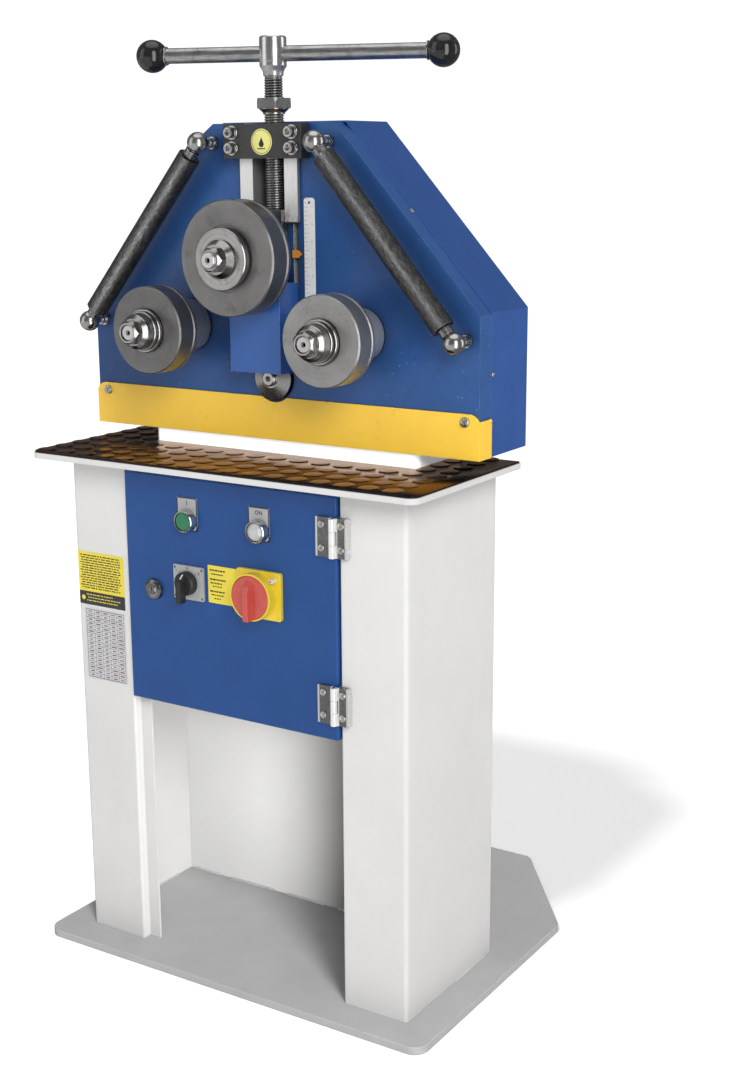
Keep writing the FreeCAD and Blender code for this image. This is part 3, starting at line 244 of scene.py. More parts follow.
def text(name, body, size, m, mat, ride, align="CENTER", thick=0.08, bold=0.0):
    c = bpy.data.curves.new(name + "_c", "FONT")
    c.body = body
    c.size = size * MM
    c.align_x = align
    c.align_y = "CENTER"
    c.extrude = thick * MM / 2
    c.offset = bold * MM
    c.resolution_u = 3
    t = bpy.data.objects.new(name + "_t", c)
    bpy.context.scene.collection.objects.link(t)
    bpy.context.view_layer.update()
    me = bpy.data.meshes.new_from_object(t.evaluated_get(bpy.context.evaluated_depsgraph_get()))
    bpy.data.objects.remove(t)
    bpy.data.curves.remove(c)
    me.transform(m)
    me.name = name
    me.materials.clear()
    me.materials.append(mat)
    o = bpy.data.objects.new(name, me)
    bpy.context.scene.collection.objects.link(o)
    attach(o, ride)
    return o


# ------------------------------------------------------------------ material helpers
class Mat:
    def __init__(self, name):
        self.m = bpy.data.materials.new(name)
        self.m.use_nodes = True
        self.t = self.m.node_tree
        self.t.nodes.clear()
        out = self.t.nodes.new("ShaderNodeOutputMaterial")
        self.b = self.t.nodes.new("ShaderNodeBsdfPrincipled")
        self.t.links.new(self.b.outputs[0], out.inputs[0])
        tc = self.t.nodes.new("ShaderNodeTexCoord")
        self.obj = tc.outputs["Object"]
        self.nrm = tc.outputs["Normal"]
        self.geo = self.t.nodes.new("ShaderNodeNewGeometry")
        s = self.add("ShaderNodeSeparateXYZ", {0: self.obj})
        self.x, self.y, self.z = s.outputs

    def add(self, kind, ins=None, **props):
        n = self.t.nodes.new(kind)
        for k, a in props.items():
            setattr(n, k, a)
        for k, a in (ins or {}).items():
            self.put(n.inputs[k], a)
        return n

    def put(self, sock, a):
        if isinstance(a, bpy.types.NodeSocket):
            self.t.links.new(a, sock)
        else:
            sock.default_value = a

    def op(self, kind, a, b=0.0, c=0.0, clamp=False):
        return self.add("ShaderNodeMath", {0: a, 1: b, 2: c}, operation=kind, use_clamp=clamp).outputs[0]

    def rng(self, a, f0, f1, t0=0.0, t1=1.0, smooth=False):
        n = self.add("ShaderNodeMapRange", {0: a, 1: f0, 2: f1, 3: t0, 4: t1},
                     interpolation_type="SMOOTHSTEP" if smooth else "LINEAR")
        n.clamp = True
        return n.outputs[0]

    def noise(self, scale, detail=3.0, rough=0.55, vec=None, dist=0.0):
        n = self.add("ShaderNodeTexNoise", {"Scale": scale, "Detail": detail, "Roughness": rough, "Distortion": dist})
        self.put(n.inputs["Vector"], self.obj if vec is None else vec)
        return n.outputs[0]

    def noise1(self, w, scale, detail=2.0, rough=0.6):
        n = self.add("ShaderNodeTexNoise", {"Scale": scale, "Detail": detail, "Roughness": rough}, noise_dimensions="1D")
        self.put(n.inputs["W"], w)
        return n.outputs[0]

    def cells(self, scale, vec=None, rand=1.0, feature="F1"):
        n = self.add("ShaderNodeTexVoronoi", {"Scale": scale, "Randomness": rand}, feature=feature)
        self.put(n.inputs["Vector"], self.obj if vec is None else vec)
        return n.outputs["Distance"]

    def stretch(self, sx, sy, sz, vec=None):
        return self.add("ShaderNodeVectorMath", {0: self.obj if vec is None else vec, 1: (sx, sy, sz)},
                        operation="MULTIPLY").outputs[0]

    def mix(self, f, a, b, blend="MIX"):
        n = self.add("ShaderNodeMix", data_type="RGBA", blend_type=blend)
        self.put(n.inputs[0], f)
        self.put(n.inputs[6], a if isinstance(a, bpy.types.NodeSocket) else rgba(a))
        self.put(n.inputs[7], b if isinstance(b, bpy.types.NodeSocket) else rgba(b))
        return n.outputs[2]

    def mixf(self, f, a, b):
        n = self.add("ShaderNodeMix", data_type="FLOAT")
        self.put(n.inputs[0], f)
        self.put(n.inputs[2], a)
        self.put(n.inputs[3], b)
        return n.outputs[0]

    def bevel(self, radius, samples=4):
        n = self.add("ShaderNodeBevel", {"Radius": radius * MM})
        n.samples = samples
        return n.outputs[0]

    def edge(self, bev, gain=1.0):
        """0 on flats, up to 1 on convex and concave edges, from the rounded normal."""
        d = self.add("ShaderNodeVectorMath", {0: bev, 1: self.geo.outputs["Normal"]}, operation="DOT_PRODUCT")
        k = self.op("SUBTRACT", 1.0, d.outputs["Value"])
        return self.op("MULTIPLY", k, gain, clamp=True)

    def bump(self, h, dist, strength=1.0, normal=None):
        n = self.add("ShaderNodeBump", {"Height": h, "Distance": dist * MM, "Strength": strength})
        if normal is not None:
            self.put(n.inputs["Normal"], normal)
        return n.outputs[0]

    def set(self, **kw):
        names = {"color": "Base Color", "rough": "Roughness", "metal": "Metallic", "normal": "Normal",
                 "coat": "Coat Weight", "coat_rough": "Coat Roughness", "ior": "IOR", "aniso": "Anisotropic",
                 "tangent": "Tangent", "spec": "Specular IOR Level", "trans": "Transmission Weight",
                 "alpha": "Alpha", "tint": "Specular Tint", "sheen": "Sheen Weight",
                 "sss": "Subsurface Weight", "emit": "Emission Strength", "emit_color": "Emission Color"}
        for k, a in kw.items():
            s = self.b.inputs[names[k]]
            if k in ("color", "tint", "emit_color") and not isinstance(a, bpy.types.NodeSocket):
                a = rgba(a)
            self.put(s, a)
        return self.m


def rgba(c):
    if isinstance(c, (int, float)):
        return (c, c, c, 1.0)
    return (c[0], c[1], c[2], 1.0) if len(c) == 3 else tuple(c)


def shade(c, k):
    return tuple(min(1.0, a * k) for a in c[:3])


def paint(name, col, rough=0.32, peel=0.02, vary=0.10, edge_col=None, edge_gain=0.0, bev=0.6, specks=0.0,
          speck_col=(0.55, 0.6, 0.68), dirt=0.0, spec=0.5, coat=0.0, grain=1.0, low_dirt=None):
    """Sprayed paint: slow changes of tone, orange peel, fine grain, edges lightened partly as rubbing wear and partly
    as painted highlight, a few specks of dust.
    """
    g = Mat(name)
    slow = g.noise(9.0, 3, 0.6)
    mid = g.noise(60.0, 4, 0.6)
    c = g.mix(g.rng(slow, 0.3, 0.7), shade(col, 1 - vary), shade(col, 1 + vary))
    c = g.mix(g.rng(mid, 0.35, 0.75, 0.0, 0.35), c, shade(col, 1 - vary * 0.9))
    fine = g.noise(1400.0, 2, 0.5)
    c = g.mix(g.rng(fine, 0.3, 0.7, 0.0, 0.12 * grain), c, shade(col, 0.8))
    if dirt:
        smear = g.noise(14.0, 5, 0.65, g.stretch(1.0, 1.0, 0.35))
        c = g.mix(g.rng(smear, 0.52, 0.78, 0.0, dirt, True), c, shade(col, 0.72))
    if specks:
        d = g.cells(150.0)
        pick = g.noise(37.0, 1, 0.5)
        s1 = g.rng(d, 0.035, 0.055, 1.0, 0.0)
        s2 = g.rng(pick, 0.52, 0.60)
        c = g.mix(g.op("MULTIPLY", g.op("MULTIPLY", s1, s2), specks), c, speck_col)
    normal = g.bevel(bev) if bev else None
    # painted highlight mixed with wear: bevelled edges lightened towards edge_col, in noisy patches
    if edge_col is not None and bev:
        e = g.edge(normal, 6.0)
        wear_and_highlight_patches = g.rng(g.noise(220.0, 4, 0.7), 0.36, 0.66)
        c = g.mix(g.op("MULTIPLY", g.op("MULTIPLY", e, wear_and_highlight_patches), edge_gain, clamp=True), c, edge_col)
    h = g.noise(320.0, 2, 0.5)
    n = g.bump(h, peel, 1.0, normal)
    r = g.rng(g.noise(28.0, 4, 0.6), 0.3, 0.75, rough * 0.88, rough * 1.18)
    return g.set(color=c, rough=r, normal=n, spec=spec, coat=coat, coat_rough=0.12)


def metal(name, col=0.6, rough=0.3, vary=0.12, scratch=(1, 1, 1), scratch_amt=0.02, spots=0.0, spot_col=0.12,
          bev=0.35, edge_gain=0.5, blotch=0.0, axis=None, turned=0.0, aniso=0.0, thread=None, lines=0.0, metallic=1.0, hole=0.0):
    """Bare steel. axis=(kind, a, b): turning marks run round the line through (a, b) along that axis."""
    g = Mat(name)
    col = col if isinstance(col, tuple) else (col, col * 0.99, col * 0.975)
    big = g.noise(22.0, 4, 0.6)
    c = g.mix(g.rng(big, 0.28, 0.72), shade(col, 1 - vary), shade(col, 1 + vary))
    fine = g.noise(900.0, 3, 0.6, g.stretch(*scratch))
    c = g.mix(g.rng(fine, 0.3, 0.7, 0.0, 0.22), c, shade(col, 0.78))
    rgh = g.rng(g.noise(45.0, 4, 0.65), 0.3, 0.75, rough * 0.8, rough * 1.25)
    if blotch:
        b1 = g.noise(48.0, 6, 0.72, dist=0.6)
        b2 = g.noise(150.0, 5, 0.7)
        m = g.op("MULTIPLY", g.rng(b1, 0.5, 0.68, 0, 1, True), g.rng(b2, 0.36, 0.62))
        c = g.mix(g.op("MULTIPLY", m, blotch), c, shade(col, 0.42))
        rgh = g.op("ADD", rgh, g.op("MULTIPLY", m, 0.12))
    if spots:
        d = g.cells(95.0)
        pick = g.noise(61.0, 1, 0.5)
        s = g.op("MULTIPLY", g.rng(d, 0.05, 0.13, 1.0, 0.0, True), g.rng(pick, 0.55, 0.62))
        c = g.mix(g.op("MULTIPLY", s, spots), c, rgba(spot_col))
    height = g.op("MULTIPLY", fine, 1.0)
    if axis:
        kind, a, b = axis
        p, q = {"y": (g.x, g.z), "z": (g.x, g.y), "x": (g.y, g.z)}[kind]
        dx = g.op("SUBTRACT", p, a * MM)
        dz = g.op("SUBTRACT", q, b * MM)
        rad = g.op("SQRT", g.op("ADD", g.op("MULTIPLY", dx, dx), g.op("MULTIPLY", dz, dz)))
        along = {"y": g.y, "z": g.z, "x": g.x}[kind]
        marks = g.noise1(g.op("ADD", rad, g.op("MULTIPLY", along, 1.0)), 2600.0, 3, 0.7)
        wide = g.noise1(g.op("ADD", rad, g.op("MULTIPLY", along, 0.7)), 420.0, 2, 0.6)
        c = g.mix(g.rng(marks, 0.3, 0.7, 0.0, turned), c, shade(col, 0.6))
        c = g.mix(g.rng(wide, 0.35, 0.65, 0.0, turned * 0.8), c, shade(col, 1.25))
        height = g.op("ADD", g.op("MULTIPLY", marks, 1.0), g.op("MULTIPLY", fine, 0.5))
    normal = g.bevel(bev) if bev else None
    # painted highlight: bevelled edges lightened towards a pale grey
    if bev and edge_gain:
        e = g.edge(normal, 5.0)
        c = g.mix(g.op("MULTIPLY", e, edge_gain, clamp=True), c, (0.85, 0.84, 0.82))
    n = g.bump(height, scratch_amt, 1.0, normal)
    if thread:
        kind, lo, hi, pitch = thread
        along = {"y": g.y, "z": g.z, "x": g.x}[kind]
        w = g.op("PINGPONG", g.op("ADD", along, 1.0), pitch * MM / 2)
        w = g.op("DIVIDE", w, pitch * MM / 2)
        inside = g.op("MULTIPLY", g.op("GREATER_THAN", along, lo * MM), g.op("LESS_THAN", along, hi * MM))
        n = g.bump(g.op("MULTIPLY", w, inside), pitch * 0.45, 1.0, n)
        # painted shade: thread grooves darkened
        c = g.mix(g.op("MULTIPLY", inside, g.rng(w, 0.0, 0.5, 0.55, 0.0)), c, shade(col, 0.3))
    # painted shade: the centre hole darkened to near black
    if hole:
        c = g.mix(g.rng(rad, hole * MM * 0.85, hole * MM, 1.0, 0.0), c, (0.015, 0.015, 0.015))
    g.set(color=c, rough=rgh, metal=metallic, normal=n)
    if aniso:
        tan = g.add("ShaderNodeTangent", direction_type="RADIAL", axis={"y": "Y", "z": "Z", "x": "X"}[axis[0]])
        g.set(aniso=aniso, tangent=tan.outputs[0])
    return g.m


def plastic(name, col, rough=0.35, grain=0.03, vary=0.06, bev=0.4, spec=0.5, coat=0.0, edge=None):
    g = Mat(name)
    c = g.mix(g.rng(g.noise(35.0, 3, 0.6), 0.3, 0.7), shade(col, 1 - vary), shade(col, 1 + vary))
    dust = g.rng(g.noise(120.0, 5, 0.7), 0.55, 0.8, 0.0, 0.10)
    c = g.mix(dust, c, (0.45, 0.45, 0.44))
    normal = g.bevel(bev) if bev else None
    # painted highlight: bevelled edges lightened towards the edge colour
    if edge is not None:
        c = g.mix(g.edge(normal, 3.0), c, edge)
    n = g.bump(g.noise(2600.0, 2, 0.5), grain, 1.0, normal)
    r = g.rng(g.noise(40.0, 4, 0.6), 0.3, 0.75, rough * 0.85, rough * 1.2)
    return g.set(color=c, rough=r, normal=n, spec=spec, coat=coat, coat_rough=0.06)


def dress(name, mat):
    o = NODES[name]
    if not o.material_slots:
        o.data.materials.append(mat)
    for s in o.material_slots:
        s.material = mat


# ------------------------------------------------------------------ materials
BLUE = (0.024, 0.092, 0.335)
YELLOW = (0.80, 0.50, 0.045)
WHITE = (0.80, 0.79, 0.77)

blue = paint("blue_enamel", BLUE, 0.30, 0.018, 0.10, (0.30, 0.42, 0.72), 0.55, 0.7, 0.7, dirt=0.3)
blue_hood = paint("blue_hood_enamel", (0.030, 0.11, 0.38), 0.30, 0.02, 0.10, (0.72, 0.78, 0.86), 1.0, 0.6, 1.0, dirt=0.2)
blue_door = paint("blue_door_enamel", (0.012, 0.068, 0.255), 0.34, 0.018, 0.08, (0.10, 0.2, 0.5), 0.4, 0.6, 0.3, dirt=0.2, spec=0.35)
yellow = paint("yellow_enamel", YELLOW, 0.30, 0.012, 0.05, (0.95, 0.78, 0.28), 0.6, 0.8, 0.0, dirt=0.12)
white = paint("white_powder", WHITE, 0.42, 0.022, 0.035, (0.92, 0.92, 0.91), 0.5, 0.9, 0.0, dirt=0.10, spec=0.4)
grey = paint("grey_base_enamel", (0.26, 0.26, 0.26), 0.5, 0.03, 0.06, (0.50, 0.50, 0.49), 0.9, 1.1, 0.35,
             speck_col=(0.45, 0.45, 0.45), dirt=0.25, spec=0.35)
black = paint("black_satin", (0.034, 0.034, 0.035), 0.34, 0.02, 0.18, (0.20, 0.20, 0.20), 0.6, 0.7, 0.15,
              speck_col=(0.2, 0.2, 0.2), dirt=0.2)
motor_grey = paint("motor_enamel", (0.10, 0.125, 0.145), 0.42, 0.05, 0.10, (0.25, 0.27, 0.28), 0.5, 0.6, 0.0, dirt=0.4)
cast = paint("cast_enamel", (0.115, 0.13, 0.145), 0.5, 0.35, 0.12, (0.26, 0.27, 0.28), 0.6, 1.4, 0.0, dirt=0.5)
bright = metal("bright_steel", 0.60, 0.24, 0.10, (1, 1, 8), 0.012, edge_gain=0.6, bev=0.3)
bright_yscr = metal("machined_steel", 0.52, 0.26, 0.12, (1, 1, 1), 0.015, edge_gain=0.7, bev=0.3)
inner_steel = metal("inner_steel", 0.35, 0.4, 0.15, (1, 1, 1), 0.02, edge_gain=0.2, bev=0.3)
gear_steel = metal("gear_steel", 0.4, 0.3, 0.15, (1, 1, 1), 0.02, edge_gain=0.5, bev=0.3)
bronze = metal("bronze_bearing", (0.55, 0.36, 0.16), 0.3, 0.12, (1, 1, 1), 0.012, edge_gain=0.3, bev=0.3)
chrome = metal("satin_chrome", 0.62, 0.17, 0.06, (1, 1, 1), 0.006, edge_gain=0.4, bev=0.25)
dark_steel = metal("drawn_dark_steel", 0.20, 0.30, 0.14, (0.05, 0.05, 1), 0.02, edge_gain=0.4, bev=0.3)
zinc = metal("zinc_plate", (0.66, 0.66, 0.62), 0.32, 0.15, (1, 1, 1), 0.012, edge_gain=0.4, bev=0.25)
knob = plastic("polished_black", (0.010, 0.010, 0.011), 0.09, 0.004, 0.05, 0.0, 0.6, 0.4)
grey_plate = plastic("grey_legend", (0.40, 0.40, 0.40), 0.4, 0.02, 0.06, 0.3)
black_pl = plastic("black_moulding", (0.022, 0.022, 0.024), 0.42, 0.03, 0.1, 0.4)
dark_pl = plastic("dark_grey_moulding", (0.09, 0.09, 0.095), 0.45, 0.04, 0.08, 0.4)
light_pl = plastic("light_grey_moulding", (0.52, 0.53, 0.53), 0.45, 0.03, 0.06, 0.4)
yellow_pl = plastic("yellow_moulding", (0.80, 0.60, 0.035), 0.32, 0.015, 0.05, 0.5, edge=(0.9, 0.75, 0.2))
red_pl = plastic("red_moulding", (0.55, 0.080, 0.060), 0.28, 0.015, 0.06, 0.6, coat=0.3, edge=(0.80, 0.22, 0.16))
green_pl = plastic("green_button", (0.015, 0.17, 0.075), 0.22, 0.01, 0.06, 0.4, coat=0.3)
orange_pl = plastic("orange_pointer", (0.80, 0.30, 0.03), 0.35, 0.01, 0.05, 0.2)
ink = plastic("black_ink", (0.02, 0.02, 0.022), 0.5, 0.005, 0.1, 0.0)
ink_grey = plastic("grey_ink", (0.22, 0.22, 0.23), 0.5, 0.005, 0.1, 0.0)
ink_faint = plastic("faint_ink", (0.42, 0.42, 0.43), 0.5, 0.005, 0.1, 0.0)
chart_film = plastic("chart_film", (0.60, 0.60, 0.61), 0.35, 0.004, 0.05, 0.0)
ink_red = plastic("red_ink", (0.20, 0.085, 0.085), 0.5, 0.005, 0.1, 0.0)
label_white = plastic("white_film", (0.72, 0.72, 0.73), 0.35, 0.004, 0.04, 0.0)
label_yellow = plastic("yellow_film", (0.80, 0.66, 0.05), 0.35, 0.004, 0.04, 0.0)
label_black = plastic("black_film", (0.03, 0.03, 0.035), 0.35, 0.004, 0.08, 0.0)
white_pl = plastic("white_moulding", (0.75, 0.75, 0.74), 0.35, 0.01, 0.04, 0.2)


def roller_mat(name, x, z, dents, tone=0.30):
    return metal(name, tone, 0.38, 0.18, (1, 1, 1), 0.012, spots=dents, spot_col=0.07, bev=0.8, edge_gain=1.0,
                 blotch=0.5, axis=("y", x, z), turned=0.30, metallic=0.8)


# painted light and shade: the three alike rollers get different base tones, the right one lighter and the left one
# darker
dress("upper_roller", roller_mat("upper_roller_steel", 0, 906.5, 0.5, 0.24))
dress("left_roller", roller_mat("left_roller_steel", -127, 817.5, 0.5, 0.20))
dress("right_roller", roller_mat("right_roller_steel", 127, 817.5, 0.9, 0.38))
for s_, x_, z_ in (("upper", 0, 906.5), ("left", -127, 817.5), ("right", 127, 817.5)):
    dress(s_ + "_shaft", metal(s_ + "_shaft_steel", 0.56, 0.24, 0.12, (1, 1, 1), 0.012, bev=0.4, edge_gain=0.8,
                               axis=("y", x_, z_), turned=0.55, metallic=0.65, hole=2.6,
                               thread=("y", -252 if s_ == "upper" else -248, -232.5, 1.5)))
    dress(s_ + "_clamp_nut", metal(s_ + "_clamp_steel", 0.40, 0.19, 0.16, (1, 1, 1), 0.014, bev=0.5, edge_gain=1.0,
                                   blotch=0.45, spots=0.5, spot_col=0.12, axis=("y", x_, z_), turned=0.5))
dress("pinion_shaft", metal("drive_shaft_steel", 0.52, 0.26, 0.12, (1, 1, 1), 0.012, bev=0.4, edge_gain=0.8,
                            axis=("y", 0, 758.585), turned=0.35))
for n_ in ("left_gear", "right_gear"):
    dress(n_, gear_steel)
dress("shaft_bearings", bronze)
dress("upper_bearings", bronze)
dress("spindle_nut", bronze)

# the front plate: blue outside, bare metal on the walls of the window and of the pointer slot
HEAD = (0.034, 0.110, 0.335)
g = Mat("head_plate_enamel")
fine = g.noise(1400.0, 2, 0.5)
slow = g.noise(7.0, 3, 0.6)
c = g.mix(g.rng(slow, 0.3, 0.7), shade(HEAD, 0.90), shade(HEAD, 1.10))
c = g.mix(g.rng(g.noise(75.0, 4, 0.65), 0.35, 0.7, 0.0, 0.35), c, shade(HEAD, 0.72))
c = g.mix(g.rng(fine, 0.3, 0.7, 0.0, 0.12), c, shade(HEAD, 0.8))
smear = g.noise(16.0, 5, 0.65)
c = g.mix(g.rng(smear, 0.52, 0.78, 0.0, 0.3, True), c, shade(HEAD, 0.7))
d = g.cells(150.0)
low = g.rng(g.z, 0.74, 0.95, 1.0, 0.35)
sp = g.op("MULTIPLY", g.rng(d, 0.055, 0.095, 1.0, 0.0), g.rng(g.noise(37.0, 1, 0.5), 0.47, 0.55))
c = g.mix(g.op("MULTIPLY", sp, low), c, (0.5, 0.56, 0.68))
bv = g.bevel(0.7)
# painted highlight mixed with wear: edges lightened to a pale blue, in noisy patches
e = g.op("MULTIPLY", g.edge(bv, 6.0), g.rng(g.noise(220.0, 4, 0.7), 0.36, 0.66))
c = g.mix(g.op("MULTIPLY", e, 0.6, clamp=True), c, (0.42, 0.52, 0.75))
ny = g.add("ShaderNodeSeparateXYZ", {0: g.nrm}).outputs[1]
wall = g.op("LESS_THAN", g.op("ABSOLUTE", ny), 0.5)
inside = g.op("MULTIPLY", g.op("LESS_THAN", g.op("ABSOLUTE", g.x), 0.043), g.op("GREATER_THAN", g.z, 0.80))
inside = g.op("MULTIPLY", inside, wall)
# painted shade: colour darkened towards near black where ambient occlusion finds nearby parts
ao = g.add("ShaderNodeAmbientOcclusion", {"Distance": 0.06})
ao.samples = 8
c = g.mix(g.rng(ao.outputs["AO"], 0.25, 0.88, 0.92, 0.0), c, shade(HEAD, 0.10))
# painted shade: the left part of the plate darkened
c = g.mix(g.rng(g.x, -0.27, -0.09, 0.5, 0.0), c, shade(HEAD, 0.2))
c = g.mix(inside, c, (0.62, 0.62, 0.60))
g.set(color=c, rough=g.rng(g.noise(28.0, 4, 0.6), 0.3, 0.75, 0.26, 0.36), metal=g.op("MULTIPLY", inside, 0.55),
      normal=g.bump(g.noise(320.0, 2, 0.5), 0.018, 1.0, bv), spec=0.32)
dress("head_front_plate", g.m)

dress("head_cover", blue)
dress("slide_cover", blue_hood)
dress("door_panel", blue_door)
dress("enclosure_box", white)
dress("guard_strip", yellow)
dress("table_plate", paint("table_white", (0.72, 0.717, 0.71), 0.42, 0.022, 0.03, (0.72, 0.72, 0.71), 0.5, 0.9, 0.0, dirt=0.10, spec=0.4))
dress("riser_plate", paint("riser_white", (0.88, 0.88, 0.875), 0.4, 0.02, 0.02, (0.95, 0.95, 0.94), 0.4, 0.9, dirt=0.05, spec=0.4))
column_white = paint("column_powder", (0.575, 0.571, 0.562), 0.42, 0.022, 0.03, (0.76, 0.76, 0.75), 0.5, 0.9, 0.0, dirt=0.08, spec=0.4)
dress("left_column", column_white)
dress("right_column", column_white)
g = Mat("rear_panel_white")
c = g.mix(g.rng(g.noise(9.0, 3, 0.6), 0.3, 0.7), (0.74, 0.735, 0.72), (0.80, 0.795, 0.78))
c = g.mix(g.rng(g.noise(1400.0, 2, 0.5), 0.3, 0.7, 0.0, 0.12), c, (0.64, 0.635, 0.62))
# painted shade: colour darkened where ambient occlusion finds nearby parts
ao = g.add("ShaderNodeAmbientOcclusion", {"Distance": 0.22})
ao.samples = 8
c = g.mix(g.rng(ao.outputs["AO"], 0.25, 0.85, 0.6, 0.0), c, (0.30, 0.30, 0.30))
# painted shade: the inner face towards the bay darkened
inner = g.op("LESS_THAN", g.add("ShaderNodeSeparateXYZ", {0: g.nrm}).outputs[1], -0.5)
c = g.mix(g.op("MULTIPLY", inner, 0.58), c, (0.03, 0.03, 0.03))
dress("rear_panel", g.set(color=c, rough=g.rng(g.noise(28.0, 4, 0.6), 0.3, 0.75, 0.38, 0.5), spec=0.35,
                          normal=g.bump(g.noise(320.0, 2, 0.5), 0.022, 1.0, g.bevel(0.9))))
dress("base_plate", grey)
dress("yoke", black)
dress("head_bearing_plate", inner_steel)
dress("tie_bars", inner_steel)
dress("slide_block", metal("slide_steel", 0.30, 0.34, 0.15, (1, 1, 1), 0.02, bev=0.5, edge_gain=0.6, blotch=0.3))
dress("hinge_pins", chrome)
dress("door_lock", metal("lock_barrel_steel", 0.26, 0.2, 0.08, (1, 1, 1), 0.006, edge_gain=0.5, bev=0.3))
dress("lock_cam", metal("lock_plug_steel", 0.24, 0.25, 0.1, (1, 1, 1), 0.012, bev=0.25, edge_gain=0.6))
dress("button_bezels", chrome)
dress("start_button", green_pl)
dress("selector_knob", black_pl)
dress("main_switch_plate", yellow_pl)
dress("main_switch_knob", red_pl)
dress("legend_plates", grey_plate)
dress("switch_blocks", black_pl)
dress("electrical_fittings", light_pl)
dress("scale_pointer", orange_pl)
dress("bar_knobs", knob)
dress("gearbox", cast)


def hinge_mat(name, side_):
    """Grey rolled leaf with bright near-white metal knuckles, a painted highlight strip along the leaf's far edge, and
    painted highlights on its bevelled edges.
    """
    g = Mat(name)
    off = g.op("SUBTRACT", g.x, 0.1545)
    kn = g.rng(g.op("ABSOLUTE", off), 0.0052, 0.0062, 1.0, 0.0)
    # painted highlight: bright strip along the leaf's far edge
    far = g.rng(g.op("MULTIPLY", off, side_), 0.0152, 0.0162) if side_ > 0 else g.rng(off, -0.0222, -0.0212, 1.0, 0.0)
    fine = g.noise(420.0, 4, 0.65, g.stretch(1, 1, 0.4))
    c = g.mix(g.rng(fine, 0.3, 0.7), (0.13, 0.13, 0.13), (0.24, 0.24, 0.235))
    c = g.mix(g.op("MAXIMUM", kn, g.op("MULTIPLY", far, 0.85)), c, (0.90, 0.90, 0.89))
    bv = g.bevel(0.5)
    # painted highlight: bevelled edges lightened
    c = g.mix(g.edge(bv, 4.0), c, (0.85, 0.85, 0.84))
    return g.set(color=c, metal=g.mixf(kn, 0.9, 0.35), rough=g.rng(g.noise(60.0, 4, 0.6), 0.3, 0.75, 0.20, 0.32),
                 normal=g.bump(fine, 0.012, 1.0, bv))


dress("column_hinge_leaves", hinge_mat("hinge_steel_a", 1))
dress("door_hinge_leaves", hinge_mat("hinge_steel_b", -1))
dress("lock_washer", metal("lock_washer_steel", 0.52, 0.24, 0.1, (1, 1, 1), 0.012, bev=0.35, edge_gain=0.7,
                           axis=("z", 0, -118), turned=0.35))
dress("lock_nut", metal("lock_nut_steel", 0.50, 0.27, 0.14, (1, 1, 6), 0.02, bev=0.4, edge_gain=0.8, blotch=0.15))

# handle bar: drawn bar, lines along it
g = Mat("bar_drawn_steel")
ca, sa = math.cos(math.radians(17.8)), math.sin(math.radians(17.8))
lx = g.op("ADD", g.op("MULTIPLY", g.x, ca), g.op("MULTIPLY", g.y, sa))
ly = g.op("SUBTRACT", g.op("MULTIPLY", g.y, ca), g.op("MULTIPLY", g.x, sa))
vec = g.add("ShaderNodeCombineXYZ", {0: g.op("MULTIPLY", lx, 0.04), 1: ly, 2: g.z}).outputs[0]
streak = g.noise(900.0, 3, 0.6, vec)
c = g.mix(g.rng(streak, 0.3, 0.7), (0.36, 0.36, 0.36), (0.74, 0.73, 0.72))
c = g.mix(g.rng(g.noise(60.0, 4, 0.6), 0.5, 0.75, 0.0, 0.5), c, (0.10, 0.10, 0.10))
g.set(color=c, metal=1.0, rough=g.rng(g.noise(50.0, 4, 0.6), 0.3, 0.75, 0.24, 0.36), normal=g.bump(streak, 0.015))
dress("tommy_bar", g.m)

# sleeves: rough dark steel with a mottled worn band
def sleeve(name, sgn):
    g = Mat(name)
    t = math.radians(40.03)
    # distance along the sleeve, and across it
    ax, az = math.sin(t) * sgn, -math.cos(t)
    al = g.op("ADD", g.op("MULTIPLY", g.x, ax), g.op("MULTIPLY", g.z, az))
    ac = g.op("SUBTRACT", g.op("MULTIPLY", g.x, az), g.op("MULTIPLY", g.z, ax))
    vec = g.add("ShaderNodeCombineXYZ", {0: g.op("MULTIPLY", al, 0.35), 1: ac, 2: g.y}).outputs[0]
    m1 = g.noise(420.0, 5, 0.75, vec)
    m2 = g.noise(1500.0, 3, 0.7, vec)
    m3 = g.noise(60.0, 4, 0.6, vec)
    vec2 = g.add("ShaderNodeCombineXYZ", {0: g.op("MULTIPLY", al, 0.12), 1: ac, 2: g.y}).outputs[0]
    m4 = g.noise(1100.0, 4, 0.7, vec2)
    c = g.mix(g.rng(m1, 0.40, 0.60), (0.045, 0.045, 0.046), (0.13, 0.13, 0.128))
    c = g.mix(g.rng(m2, 0.35, 0.65, 0.0, 0.5), c, (0.05, 0.05, 0.05))
    c = g.mix(g.rng(m3, 0.5, 0.7, 0.0, 0.4), c, (0.09, 0.088, 0.086))
    c = g.mix(g.op("MULTIPLY", g.rng(m4, 0.56, 0.64), g.rng(m3, 0.40, 0.60)), c, (0.30, 0.30, 0.295))
    bv = g.bevel(0.4)
    # painted highlight: bevelled edges lightened
    c = g.mix(g.edge(bv, 4.0), c, (0.6, 0.6, 0.6))
    g.set(color=c, metal=0.92, rough=g.rng(m1, 0.35, 0.65, 0.38, 0.50), normal=g.bump(m2, 0.014, 1.0, bv))
    return g.m


dress("left_guide_sleeve", sleeve("left_sleeve_steel", -1))
dress("right_guide_sleeve", sleeve("right_sleeve_steel", 1))
dress("side_guide_rods", metal("guide_chrome", 0.55, 0.20, 0.10, (1, 1, 1), 0.008, bev=0.25, edge_gain=0.4, blotch=0.12))

